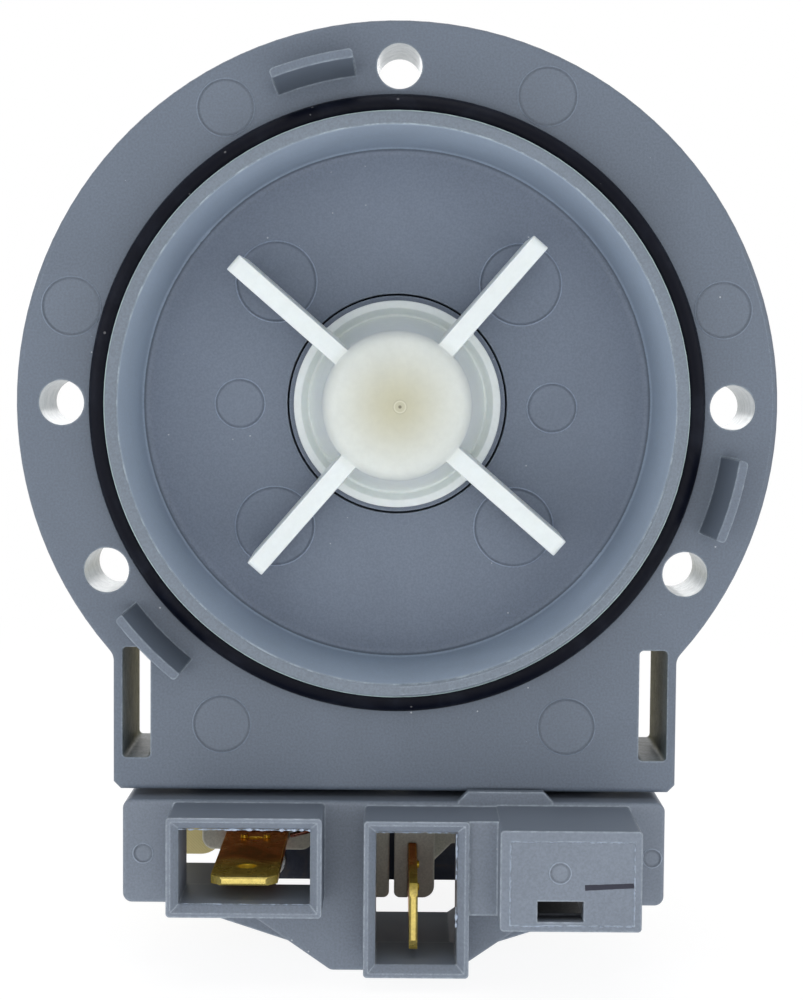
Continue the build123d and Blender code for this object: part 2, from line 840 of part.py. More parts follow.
def stator_screw(side):
    """A screw from the back of the core into a boss behind the cup"""
    place = (side * core_screw_x, core_screw_y)
    seat_z = core_end_z - lock_washer_thickness
    head = disc(screw_head_radius, seat_z - screw_head_height, seat_z, place)
    head = chamfer(head.edges().filter_by(GeomType.CIRCLE).sort_by(Axis.Z)[0], screw_head_cut)
    drive = Box(screw_drive_length, screw_drive_width, 2 * screw_drive_depth)
    cross = drive + Rot(0, 0, 90) * drive
    head -= Pos(*place, seat_z - screw_head_height) * cross
    shank = disc(screw_radius, seat_z, core_start_z, place)
    tip = disc(screw_tip_radius, core_start_z, screw_end_z, place)
    return head + shank + tip


def screw_washer(side):
    """The spring washer under one screw head"""
    return tube(lock_washer_radius, core_screw_hole_radius, core_end_z - lock_washer_thickness,
                core_end_z, (side * core_screw_x, core_screw_y))


parts["stator_core"] = stator_core()
parts["core_rivets"] = Compound([core_rivet(-1), core_rivet(1)])
parts["stator_screws"] = Compound([stator_screw(-1), stator_screw(1)])
parts["screw_washers"] = Compound([screw_washer(-1), screw_washer(1)])


# Coils: a bobbin on each leg, its winding and the tape round it

def leg_section(margin, corner):
    """A rectangle that stands off the core leg by a margin all round"""
    width = leg_width + 2 * margin
    depth = core_depth + 2 * margin
    if corner:
        return RectangleRounded(width, depth, corner)
    return Rectangle(width, depth)


def coil_ring(inner_margin, outer_margin, low_y, high_y, outer_round, inner_round=0):
    """A box ring round the right-hand leg, between two heights"""
    lying = Pos(leg_centre_x, high_y, (core_start_z + core_end_z) / 2) * upright
    section = leg_section(outer_margin, outer_round) - leg_section(inner_margin, inner_round)
    return extrude(lying * section, high_y - low_y, dir=(0, -1, 0))


def bobbin_spool():
    """The tube on the right-hand leg with a flange at each end"""
    spool = coil_ring(slot_fit, bobbin_margin, bobbin_bottom_y, bobbin_top_y, 0)
    spool += coil_ring(slot_fit, flange_margin, coil_top_y, bobbin_top_y, bobbin_corner_round)
    spool += coil_ring(slot_fit, flange_margin, bobbin_bottom_y, coil_bottom_y, bobbin_corner_round)
    return spool


def terminal_slot(centre, width, thickness):
    """The slot in a block that grips the root of a terminal"""
    x_ends = (centre[0] - width / 2 - seat_gap, centre[0] + width / 2 + seat_gap)
    y_ends = (centre[1] - thickness / 2 - seat_gap, centre[1] + thickness / 2 + seat_gap)
    return slab(x_ends, y_ends, (terminal_root_z - seat_gap, comb_front_z + cut_overrun))


def left_bobbin():
    """The left spool with the block of the level terminal and one comb leg"""
    low_left = (left_block_left_x, left_block_bottom_y)
    low_right = (left_block_right_x, left_block_bottom_y)
    block = outline_face(((left_block_left_x, coil_bottom_y), low_left, low_right,
                          (left_block_right_x, coil_bottom_y)))
    block = eased(block, ((low_left, block_corner_round), (low_right, block_corner_round)))
    foot_left = (left_comb_left_x, leg_bottom_y)
    foot_right = (left_comb_right_x, leg_bottom_y)
    comb = outline_face(((left_comb_left_x, coil_bottom_y), foot_left, foot_right,
                         (left_comb_right_x, coil_bottom_y)))
    comb = eased(comb, ((foot_left, comb_corner_round), (foot_right, comb_corner_round)))
    body = mirrored(bobbin_spool())
    body += extrude(Pos(0, 0, block_back_z) * block, block_depth)
    body += extrude(Pos(0, 0, block_back_z) * comb, block_depth + comb_proud)
    body += slab((left_block_right_x, left_comb_left_x),
                 (coil_bottom_y, bobbin_bottom_y - bobbin_flange), (block_back_z, block_front_z))
    return body - terminal_slot((left_terminal_x, left_terminal_y), terminal_width,
                                terminal_thickness)


def right_bobbin():
    """The right spool with the two comb legs that grip the upright terminal"""
    foot_left = (right_comb_left_x, leg_bottom_y)
    foot_right = (right_comb_right_x, leg_bottom_y)
    block_corner = (right_block_right_x, right_block_bottom_y)
    block = outline_face((
        (right_comb_left_x, coil_bottom_y), foot_left, foot_right,
        (right_comb_right_x, right_block_bottom_y - right_block_slope),
        (right_comb_right_x + right_block_slope, right_block_bottom_y),
        block_corner, (right_block_right_x, coil_bottom_y),
    ))
    block = eased(block, ((foot_left, comb_corner_round), (foot_right, block_corner_round),
                          (block_corner, block_corner_round)))
    low_block = extrude(Pos(0, 0, block_back_z) * block, block_depth)
    comb_part = slab((right_comb_left_x - cut_overrun, right_comb_right_x),
                     (leg_bottom_y - cut_overrun, coil_bottom_y), (block_back_z, comb_front_z))
    comb = extrude(Pos(0, 0, block_back_z) * block, block_depth + comb_proud) & comb_part
    body = bobbin_spool() + low_block + comb
    return body - terminal_slot((middle_terminal_x, middle_terminal_y), terminal_thickness,
                                terminal_width)


def winding():
    """The coil of wire, as one block between the bobbin's flanges"""
    return coil_ring(bobbin_margin + seat_gap, winding_margin, coil_bottom_y + seat_gap,
                     coil_top_y - seat_gap, bobbin_corner_round)


def tape_wrap():
    """The insulating tape wound once round the coil"""
    return coil_ring(winding_margin + seat_gap, tape_margin, coil_bottom_y + seat_gap,
                     coil_top_y - seat_gap, bobbin_corner_round + tape_thickness,
                     bobbin_corner_round)


parts["left_bobbin"] = left_bobbin()
parts["right_bobbin"] = right_bobbin()
parts["left_winding"] = mirrored(winding())
parts["right_winding"] = winding()
parts["left_tape_wrap"] = mirrored(tape_wrap())
parts["right_tape_wrap"] = tape_wrap()


# Push-on terminals

def terminal():
    """A flat blade lying level with its stakes on top, its tip at the origin and its root along -z"""
    length = terminal_tip_z - terminal_root_z
    outline = Pos(0, -length / 2) * Rectangle(terminal_width, length)
    for side in (-1, 1):
        outline = chamfer(corner_of(outline, (side * terminal_width / 2, 0)), terminal_corner_cut)
    outline -= Pos(0, -terminal_hole_from_tip) * Circle(terminal_hole_radius)
    window_y = block_front_z + terminal_window_rise - terminal_tip_z
    outline -= Pos(0, window_y) * Rectangle(terminal_window_width, terminal_window_length)
    flat = Pos(0, 0, -terminal_thickness / 2) * extrude(outline, terminal_thickness)
    tip_edges = flat.edges().filter_by(Axis.X).group_by(Axis.Y)[-1]
    flat = chamfer(tip_edges, terminal_edge_cut)
    for side in (-1, 1):
        flat += disc(terminal_stake_radius, 0, terminal_thickness / 2 + terminal_stake_height,
                     (side * terminal_stake_side, window_y - terminal_stake_set_back))
    return Rot(0, 0, 180) * (upright * flat)


parts["left_terminal"] = Pos(left_terminal_x, left_terminal_y, terminal_tip_z) * terminal()
parts["middle_terminal"] = Pos(middle_terminal_x, middle_terminal_y, terminal_tip_z) * (
    Rot(0, 0, -90) * terminal())


# Link wire from the level terminal along the left block and up to the coil

def link_wire():
    """One thin wire that leaves the terminal's edge and turns up beside the comb leg"""
    wire_z = block_front_z + link_wire_radius + seat_gap
    start_x = left_terminal_x + terminal_width / 2 + seat_gap
    turn_x = left_comb_left_x - link_wire_radius - seat_gap
    turn_y = left_terminal_y + (turn_x - start_x) * tan(radians(link_wire_slope))
    route = FilletPolyline((start_x, left_terminal_y, wire_z), (turn_x, turn_y, wire_z),
                           (turn_x, bobbin_bottom_y - seat_gap, wire_z), radius=link_wire_bend)
    section = (route ^ 0) * Circle(link_wire_radius)
    return sweep(section, path=route)


parts["link_wire"] = link_wire()


# Thermal cut-out lying beside the yoke under the left coil

def oval_bar(width, height, ease, front_z, back_z):
    """A bar along z with a rounded section, hung under the left coil"""
    left_x = -leg_outer_x - assembly_gap - cutout_width - 2 * sleeve_skin
    centre_x = (left_x - leg_outer_x - assembly_gap) / 2
    centre_y = bobbin_bottom_y - assembly_gap - cutout_height / 2 - sleeve_skin
    section = Pos(centre_x, centre_y, back_z) * RectangleRounded(width, height, ease)
    return extrude(section, front_z - back_z)


cutout_front_z = block_back_z - seat_gap
cutout_back_z = cutout_front_z - cutout_length
body_front_z = cutout_front_z - sleeve_skin
body_back_z = cutout_back_z + sleeve_skin
parts["thermal_cutout"] = oval_bar(cutout_width - 2 * seat_gap, cutout_height - 2 * seat_gap,
                                   cutout_round - sleeve_skin, body_front_z, body_back_z)
sleeve_outside = oval_bar(cutout_width + 2 * sleeve_skin, cutout_height + 2 * sleeve_skin,
                          cutout_round, cutout_front_z, cutout_back_z)
sleeve_inside = oval_bar(cutout_width, cutout_height, cutout_round - sleeve_skin,
                         body_front_z + seat_gap, cutout_back_z - cut_overrun)
parts["cutout_sleeve"] = sleeve_outside - sleeve_inside


# Terminal cover

def cover_outline():
    """The face of the cover: two ears and the vee that hangs below the middle socket"""
    top_corner = (cover_half_width, cover_top_y)
    ear_corner = (cover_half_width, cover_ear_bottom_y)
    vee_corner = (vee_bottom_half_width, vee_bottom_y)
    half = outline_face(((0, cover_top_y), top_corner, ear_corner,
                         (vee_top_half_width, cover_ear_bottom_y), vee_corner, (0, vee_bottom_y)))
    half = eased(half, [(corner, cover_corner_round) for corner in (top_corner, ear_corner, vee_corner)])
    return half + mirrored(half)


def cover_shell():
    """The face plate with the walls that run back round the blocks"""
    outline = cover_outline()
    depth = cover_face_z - cover_rear_z
    shell = extrude(Pos(0, 0, cover_rear_z) * outline, depth)
    front_edges = shell.faces().sort_by(Axis.Z)[-1].outer_wire().edges()
    shell = fillet(front_edges, cover_edge_round)
    room = Pos(0, 0, cover_rear_z - cut_overrun) * offset(outline, -cover_wall)
    return shell - extrude(room, depth - cover_plate + cut_overrun)


def drip_rib():
    """The wide shallow vee that stands out below the cover's walls"""
    rib_top_y = cover_ear_bottom_y + cover_wall
    wide = outline_face(((-cover_half_width, rib_top_y), (-cover_half_width, cover_ear_bottom_y),
                         (-vee_bottom_half_width, vee_bottom_y), (vee_bottom_half_width, vee_bottom_y),
                         (cover_half_width, cover_ear_bottom_y), (cover_half_width, rib_top_y)))
    rib_back_z = cover_face_z - drip_rib_set_back - drip_rib_thickness
    rib = extrude(Pos(0, 0, rib_back_z) * wide, drip_rib_thickness)
    room = extrude(Pos(0, 0, cover_rear_z) * offset(cover_outline(), -cover_wall),
                   cover_face_z - cover_rear_z)
    return rib - room


def apron():
    """The bottom of the vee, carried back below the coil terminals to just short of the core"""
    outline = cover_outline()
    low_band = Pos(0, vee_bottom_y) * Rectangle(2 * apron_half_width, 2 * apron_rise)
    profile = (outline - offset(outline, -cover_wall)) & low_band
    back_z = core_start_z + apron_core_gap
    return extrude(Pos(0, 0, back_z) * profile, cover_rear_z + cover_wall - back_z)


def housing(x_ends, y_ends, front_z):
    """The outside of a socket or block that stands on the cover's face"""
    body = slab(x_ends, y_ends, (cover_face_z - cover_plate, front_z))
    return fillet(body.edges().filter_by(Axis.Z), cover_edge_round)


def socket_room(x_ends, y_ends):
    """The inside of an open socket, with its lead-in at the mouth"""
    x_inside = (x_ends[0] + socket_wall, x_ends[1] - socket_wall)
    y_inside = (y_ends[0] + socket_wall, y_ends[1] - socket_wall)
    room = slab(x_inside, y_inside,
                (cover_face_z - cover_plate - cut_overrun, socket_mouth_z + cut_overrun))
    width = x_inside[1] - x_inside[0]
    height = y_inside[1] - y_inside[0]
    middle = Pos(sum(x_ends) / 2, sum(y_ends) / 2, 0)
    inner = middle * Pos(0, 0, socket_mouth_z - socket_lead_in) * Rectangle(width, height)
    grown = 2 * socket_lead_in
    mouth = middle * Pos(0, 0, socket_mouth_z) * Rectangle(width + grown, height + grown)
    return room + loft([inner, mouth])


def closed_block_room(x_ends, y_ends):
    """The hollow behind the closed block"""
    return slab((x_ends[0] + socket_wall, x_ends[1] - socket_wall),
                (y_ends[0] + socket_wall, y_ends[1] - socket_wall),
                (cover_face_z - cover_plate - cut_overrun, closed_block_front_z - closed_block_skin))


def notch():
    """The small window low in the closed block's front"""
    centre_x = closed_block_x - notch_shift
    bottom_y = closed_block_bottom_y + notch_rise
    return slab((centre_x - notch_width / 2, centre_x + notch_width / 2),
                (bottom_y, bottom_y + notch_tall),
                (closed_block_front_z - 2 * closed_block_skin, closed_block_front_z + cut_overrun))


def catch():
    """The lip on the cover's top edge that laps over the plate"""
    lip = slab((catch_x - catch_width / 2, catch_x + catch_width / 2),
               (cover_top_y - cover_wall, cover_top_y + catch_reach),
               (cover_face_z - catch_thickness, cover_face_z))
    top_corners = lip.edges().filter_by(Axis.Z).group_by(Axis.Y)[-1]
    return chamfer(top_corners, catch_corner_cut)


def snap_hook(side):
    """A hook on the top wall that snaps behind the flange skirt"""
    root_y = cover_top_y - cover_wall
    ledge_y = -plate_drop + skirt_wall + assembly_gap
    tip_y = ledge_y + hook_ledge
    points = ((root_y, skirt_back_z), (ledge_y, skirt_back_z), (ledge_y, skirt_back_z + hook_nose),
              (tip_y, skirt_back_z), (tip_y, cover_rear_z), (root_y, cover_rear_z))
    profile = make_face(Polyline(*[(0, y, z) for y, z in points], close=True))
    return Pos(side * hook_x, 0, 0) * extrude(profile, hook_width / 2, both=True, dir=(1, 0, 0))


def terminal_cover():
    """The cover with two open sockets and one closed block"""
    left_x = (left_socket_x - left_socket_width / 2, left_socket_x + left_socket_width / 2)
    left_y = (left_socket_bottom_y, left_socket_top_y)
    middle_x = (middle_socket_x - middle_socket_width / 2, middle_socket_x + middle_socket_width / 2)
    middle_y = (middle_socket_bottom_y, middle_socket_top_y)
    closed_x = (closed_block_x - closed_block_width / 2, closed_block_x + closed_block_width / 2)
    closed_y = (closed_block_bottom_y, closed_block_top_y)
    body = cover_shell() + drip_rib() + apron()
    body += housing(left_x, left_y, socket_mouth_z)
    body += housing(middle_x, middle_y, socket_mouth_z)
    body += housing(closed_x, closed_y, closed_block_front_z)
    body += slab((middle_x[1] - cover_edge_round, closed_x[0] + cover_edge_round),
                 (closed_block_bottom_y + web_rise, middle_socket_top_y),
                 (cover_face_z - cover_plate, socket_mouth_z - web_set_back))
    body -= socket_room(left_x, left_y)
    body -= socket_room(middle_x, middle_y)
    body -= closed_block_room(closed_x, closed_y)
    body -= notch()
    return body + catch() + snap_hook(-1) + snap_hook(1)


parts["terminal_cover"] = terminal_cover()

# Turn every piece into the pump's fitted position and write one file for each
os.makedirs("parts", exist_ok=True)
for name, piece in parts.items():
    export_step(upright * piece, "parts/" + name + ".step")
    print(name, "written")
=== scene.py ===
from math import cos, hypot, pi, radians, sin

import bmesh
import bpy
from mathutils import Matrix, Vector


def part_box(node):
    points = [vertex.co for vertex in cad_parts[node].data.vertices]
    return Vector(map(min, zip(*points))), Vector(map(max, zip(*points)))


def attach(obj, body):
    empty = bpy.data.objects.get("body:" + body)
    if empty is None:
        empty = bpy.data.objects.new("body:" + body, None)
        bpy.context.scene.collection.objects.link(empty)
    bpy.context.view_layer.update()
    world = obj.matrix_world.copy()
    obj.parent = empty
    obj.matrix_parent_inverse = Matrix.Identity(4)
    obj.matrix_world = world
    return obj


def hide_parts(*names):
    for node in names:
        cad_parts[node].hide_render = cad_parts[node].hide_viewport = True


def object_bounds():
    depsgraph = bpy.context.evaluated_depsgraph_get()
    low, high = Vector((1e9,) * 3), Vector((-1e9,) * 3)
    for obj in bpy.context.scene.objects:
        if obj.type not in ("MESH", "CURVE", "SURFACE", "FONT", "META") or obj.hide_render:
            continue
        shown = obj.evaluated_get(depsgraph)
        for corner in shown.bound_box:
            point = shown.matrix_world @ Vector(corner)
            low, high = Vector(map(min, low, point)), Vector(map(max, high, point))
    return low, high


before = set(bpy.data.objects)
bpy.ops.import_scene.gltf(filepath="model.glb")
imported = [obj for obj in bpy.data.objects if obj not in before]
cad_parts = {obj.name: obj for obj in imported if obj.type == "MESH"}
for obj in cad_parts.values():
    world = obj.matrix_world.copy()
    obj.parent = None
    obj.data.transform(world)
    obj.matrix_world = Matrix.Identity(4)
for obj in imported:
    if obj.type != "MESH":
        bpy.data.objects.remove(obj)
cad_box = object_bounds()

bl_info = {
    "name": "Washer drain pump",
    "version": (1, 0, 0),
    "blender": (4, 5, 0),
    "location": "View3D > Sidebar > Drain pump",
    "description": "Dresses the pump's solids: soft edges, windings, laminations, mould marks, finishes",
    "category": "Object",
}

# The pump is described as it is seen from its impeller: x to the right, y up, z out of the cup,
# in millimetres. place() turns such a point into the frame, where the axis lies along Y.
mm = 0.001
weld = 2e-7
flat_angle = radians(0.3)
round_angle = radians(32)
finished = {"FINISHED"}


def place(x, y, z):
    """A point given in millimetres from the impeller side, as a point of the frame."""
    return Vector((x * mm, -z * mm, y * mm))


def front(z):
    """The frame's Y of a place z millimetres in front of the flange's plate."""
    return place(0, 0, z).y


def linear(colour):
    """A colour as it is seen on a screen, made linear and given an alpha."""
    parts = [c / 12.92 if c <= 0.04045 else ((c + 0.055) / 1.055) ** 2.4 for c in colour]
    return (*parts, 1.0)


def tint(name, description, red, green, blue):
    """A colour property from 0 to 255 values."""
    return bpy.props.FloatVectorProperty(
        name=name, description=description, subtype="COLOR_GAMMA", size=3, min=0, max=1,
        default=(red / 255, green / 255, blue / 255))


def length(name, description, millimetres):
    """A length property given in millimetres."""
    return bpy.props.FloatProperty(
        name=name, description=description, default=millimetres * mm, min=0, precision=5,
        subtype="DISTANCE", unit="LENGTH")


# Sizes and colours that a user would change

class PumpSizes(bpy.types.PropertyGroup):
    """Sizes of the details that are added to the pump's solids."""
    moulding_edge: length("Moulding edge", "Width of the softened edges of the bobbins", 0.14)
    impeller_edge: length("Impeller edge", "Width of the softened edges of the impeller", 0.11)
    metal_edge: length("Metal edge", "Width of the softened edges of stamped metal", 0.05)
    mark_bead: length("Mark bead", "Width of the raised line round an ejector mark", 0.18)
    mark_step: length("Mark step", "How far an ejector mark's disc stands out", 0.02)
    flash_bead: length("Flash bead", "Thickness of the ragged mould flash", 0.1)
    parting_line: length("Parting line", "Width of the seal ring's mould line", 0.1)
    sheet_pitch: length("Sheet pitch", "Thickness of one core sheet with its varnish", 0.5)
    sheet_gap: length("Sheet gap", "Groove between two core sheets", 0.11)
    wire_pitch: length("Wire pitch", "Distance between two turns of a winding", 0.46)
    tape_thickness: length("Tape thickness", "Thickness of one layer of coil tape", 0.09)


class PumpColours(bpy.types.PropertyGroup):
    """Colours of the pump's finishes as they are seen on a screen."""
    housing: tint("Housing", "Grey of the flange and the cup", 104, 114, 128)
    rim: tint("Collar rim", "Paler grey of the collar's rubbed front edge", 114, 124, 136)
    # Painted light: the cup's inner wall is the flange's plastic, painted paler where the lamps light it too
    # weakly
    wall: tint("Cup wall", "Paler, smoother grey of the cup's inner wall", 157, 171, 189)
    # Painted light: the cup's floor is the flange's plastic, painted paler where little light reaches it
    cup_floor_painted_light: tint("Cup floor", "Grey of the cup's floor", 123, 133, 149)
    cover: tint("Terminal cover", "Grey of the terminal cover", 120, 129, 142)
    impeller: tint("Impeller", "White of the impeller's plastic", 222, 229, 230)
    # Painted shade: the dome's greyer tone stands for the dark hollow inside showing through its thin plastic
    dome: tint("Dome", "Tone of the hub dome away from its middle", 212, 217, 213)
    # Painted light: whitens the impeller's lower part, deep in the cup, not only the hub's foot
    foot: tint("Hub foot", "White of the thin ring at the hub's foot", 240, 245, 243)
    # Painted shade: the dome's middle is painted darker and warmer, for the dark hollow inside showing through
    # the thin plastic
    hub: tint("Hub", "Warmer tone of the thick hub dome", 186, 184, 160)
    rubber: tint("Rubber", "Black of the seals", 9, 12, 24)
    brass: tint("Brass", "Bright brass of the terminals' tips", 190, 168, 74)
    brass_root: tint("Heated brass", "Amber tone at the terminals' roots", 188, 84, 4)
    sheet: tint("Core sheet", "Varnished electrical steel", 42, 46, 60)
    bobbin: tint("Bobbin", "Greenish grey of the bobbins", 206, 204, 190)
    tape: tint("Tape", "Cream of the tape and the sleeve", 194, 180, 126)
    copper: tint("Copper", "Enamelled wire", 112, 54, 32)
    steel: tint("Steel", "Zinc plated steel", 176, 178, 180)
    magnet: tint("Magnet", "Dark grey of the ferrite", 52, 52, 56)
    bush: tint("Bush", "Black of the carbon bushes", 34, 34, 36)
    washer: tint("Washer", "Thrust washer plastic", 196, 190, 170)
    dog: tint("Drive dog", "Plastic of the dog and the magnet's hub", 70, 74, 80)
    case: tint("Cut-out case", "Brown case of the thermal cut-out", 96, 60, 40)
    ink: tint("Ink", "Pen stroke on the closed block", 26, 26, 44)
    floor: tint("Floor", "Pale floor", 244, 244, 244)


# Node trees, written as sums on their wires

noise_reach = (0.3, 0.7)


def sum_of(operation, turned=False):
    """A method of a wire that writes one math node."""
    def write(self, *others):
        return self.tree.maths(operation, *((*others, self) if turned else (self, *others)))
    return write


class Wire:
    """A node's output. Sums and comparisons on it become math nodes, and a key gives another output."""

    def __init__(self, tree, socket):
        self.tree, self.socket = tree, socket

    def __getitem__(self, key):
        return Wire(self.tree, self.socket.node.outputs[key])

    __add__ = __radd__ = sum_of("ADD")
    __mul__ = __rmul__ = sum_of("MULTIPLY")
    __sub__, __rsub__ = sum_of("SUBTRACT"), sum_of("SUBTRACT", turned=True)
    __truediv__, __rtruediv__ = sum_of("DIVIDE"), sum_of("DIVIDE", turned=True)
    __pow__, __abs__ = sum_of("POWER"), sum_of("ABSOLUTE")
    __gt__, __lt__ = sum_of("GREATER_THAN"), sum_of("LESS_THAN")


class Tree:
    """A node tree, and short names for the nodes that this file writes on it."""

    def __init__(self, tree):
        self.tree = tree

    def put(self, value, socket):
        """A value or another node's output put into a socket."""
        if isinstance(value, Wire):
            self.tree.links.new(value.socket, socket)
        elif value is not None:
            socket.default_value = value

    def node(self, kind, inputs=(), **settings):
        """The first output of a new node with these settings and inputs."""
        made = self.tree.nodes.new(kind)
        for key, value in settings.items():
            setattr(made, key, value)
        for key, value in inputs.items() if isinstance(inputs, dict) else enumerate(inputs):
            self.put(value, made.inputs[key])
        return Wire(self, made.outputs[0] if made.outputs else None)

    def shape(self, kind, inputs=(), **settings):
        """A geometry node."""
        return self.node("GeometryNode" + kind, inputs, **settings)

    def maths(self, operation, *values, clamp=False):
        """One sum on numbers."""
        return self.node("ShaderNodeMath", values, operation=operation, use_clamp=clamp)

    def vector(self, operation, *values):
        """One sum on vectors."""
        return self.node("ShaderNodeVectorMath", values, operation=operation)

    def reach(self, first, second):
        """The distance between two points."""
        return self.vector("DISTANCE", first, second)["Value"]

    def xyz(self, *parts):
        """A vector from its three parts."""
        return self.node("ShaderNodeCombineXYZ", parts)

    def parts(self, vector):
        """A vector's three parts."""
        return self.node("ShaderNodeSeparateXYZ", [vector])

    def here(self):
        """The point that is shaded, in the frame."""
        return self.node("ShaderNodeTexCoord")["Object"]

    def normal(self):
        """The way that the shaded face looks, as three parts."""
        return self.parts(self.node("ShaderNodeNewGeometry")["Normal"])

    def noise(self, scale, detail, roughness=0.5, distortion=0.0):
        """Noise over the piece."""
        return self.node("ShaderNodeTexNoise", {
            "Vector": self.here(), "Scale": scale, "Detail": detail, "Roughness": roughness,
            "Distortion": distortion})

    def mix(self, factor, first, second, mode="MIX"):
        """The second colour over the first, as strongly as the factor says."""
        return self.node("ShaderNodeMix", {0: factor, 6: first, 7: second},
                         data_type="RGBA", blend_type=mode)[2]

    def ramp(self, value, low, high, to_low=0.0, to_high=1.0):
        """A value between low and high, spread smoothly over a new range."""
        return self.node("ShaderNodeMapRange", [value, low, high, to_low, to_high],
                         interpolation_type="SMOOTHSTEP")

    def spread(self, noise, to_low, to_high):
        """The usual reach of a noise, spread over a new range."""
        return self.ramp(noise, *noise_reach, to_low, to_high)

    def between(self, value, limits):
        """One where a value lies between two limits, and nought elsewhere."""
        return (value > limits[0]) * (value < limits[1])

    def shade(self, colour, amount):
        """A colour made darker below 0.5 and lighter above it."""
        grey = self.node("ShaderNodeCombineColor", [amount] * 3)
        return self.mix(1.0, colour, self.vector("MULTIPLY", grey, (2, 2, 2)), "MULTIPLY")

    def use(self, effect, **values):
        """A shared effect placed in a material with its own values."""
        made = self.node("ShaderNodeGroup", node_tree=effects[effect])
        for label, value in values.items():
            self.put(value, made.socket.node.inputs[label.replace("_", " ")])
        return made


def new_group(name, kind, inputs, outputs):
    """A node group with its named sockets: its tree, its inputs by name and its end node."""
    group = bpy.data.node_groups.new(name, kind)
    kinds = {float: "NodeSocketFloat", int: "NodeSocketInt"}
    for label, value in inputs.items():
        given_kind = isinstance(value, str)
        socket = group.interface.new_socket(
            label, in_out="INPUT", socket_type="NodeSocket" + value if given_kind else kinds[type(value)])
        if not given_kind:
            socket.default_value = value
    for label, socket_type in outputs.items():
        group.interface.new_socket(label, in_out="OUTPUT", socket_type="NodeSocket" + socket_type)
    tree = Tree(group)
    return tree, tree.node("NodeGroupInput"), group.nodes.new("NodeGroupOutput")


# Effects that several finishes share

effects = {}
fleck_scale = 620.0
grain_scale = 9000.0
rub_scale = 1500.0


def moulded_grain(t, given):
    """Fine mottle, slow clouds of tone and small pale flecks of a moulded face."""
    mottle = t.noise(given["Fineness"], 3.0, 0.62)
    cloud = t.noise(given["Cloud size"], 4.0, 0.55, 0.8)
    cells = t.node("ShaderNodeTexVoronoi", {"Vector": t.here(), "Scale": fleck_scale, "Randomness": 1.0})
    size = t.node("ShaderNodeSeparateColor", [cells["Color"]])
    fleck = cells["Distance"] < given["Fleck share"] * size ** 5.0
    return {"Mottle": mottle, "Cloud": cloud, "Fleck": fleck,
            "Height": mottle * 0.7 + t.noise(grain_scale, 2.0) * 0.3}


def edge_wear_and_highlight(t, given):
    """A ragged mask of the edges, which the plastic finishes paint paler as a painted highlight and the metal
    finishes as paler cut and worn edges, and the normal of an edge's small round.
    """
    rounded = t.node("ShaderNodeBevel", {"Radius": given["Width"]}, samples=6)
    along = t.vector("DOT_PRODUCT", rounded, t.node("ShaderNodeNewGeometry")["Normal"])["Value"]
    edge = t.ramp(1.0 - along, 0.004, 0.14)
    broken = t.ramp(t.noise(rub_scale, 3.0), given["Raggedness"] * 0.8, 0.65, 0.5, 1.0)
    return {"Mask": t.maths("MULTIPLY", edge, broken, clamp=True), "Rounded": rounded}


def drawn_metal(t, given):
    """Fine lines drawn along Y on stamped or turned metal, and slow stains over them."""
    along = t.vector("MULTIPLY", t.here(), t.xyz(1.0, given["Stretch"], 1.0))
    lines = t.node("ShaderNodeTexNoise", {"Vector": along, "Scale": given["Line fineness"],
                                          "Detail": 3.0, "Roughness": 0.7})
    return {"Lines": lines, "Stain": t.noise(given["Stain size"], 5.0, 0.6, 1.2), "Height": lines}


def woven_tape(t, given):
    """The weave of glass cloth tape: two crossing sets of rounded threads."""
    parts = t.parts(t.here())
    turns = 2 * pi / given["Thread pitch"]
    weave = t.maths("SINE", (parts[0] + parts[2]) * turns) * t.maths("SINE", parts[1] * turns)
    return {"Height": t.maths("MULTIPLY_ADD", weave, 0.5, 0.5), "Thread": abs(weave)}


effect_inputs = (
    (moulded_grain, {"Fineness": 4600.0, "Cloud size": 55.0, "Fleck share": 0.06}),
    (edge_wear_and_highlight, {"Width": 0.00025, "Raggedness": 0.5}),
    (drawn_metal, {"Line fineness": 5000.0, "Stretch": 0.04, "Stain size": 260.0}),
    (woven_tape, {"Thread pitch": 0.00032}),
)
effect_outputs = {
    "moulded_grain": ("Mottle", "Cloud", "Fleck", "Height"), "edge_wear_and_highlight": ("Mask", "Rounded"),
    "drawn_metal": ("Lines", "Stain", "Height"), "woven_tape": ("Height", "Thread")}


def make_effects():
    """Builds each shared effect as a node group."""
    for make, inputs in effect_inputs:
        name = make.__name__
        outputs = {label: "Vector" if label == "Rounded" else "Float" for label in effect_outputs[name]}
        tree, given, end = new_group(name, "ShaderNodeTree", inputs, outputs)
        for label, value in make(tree, given).items():
            tree.put(value, end.inputs[label])
        effects[name] = tree.tree


# Finishes

finishes = {}
usual_edge = 0.00034
moulded_depth = 0.00002


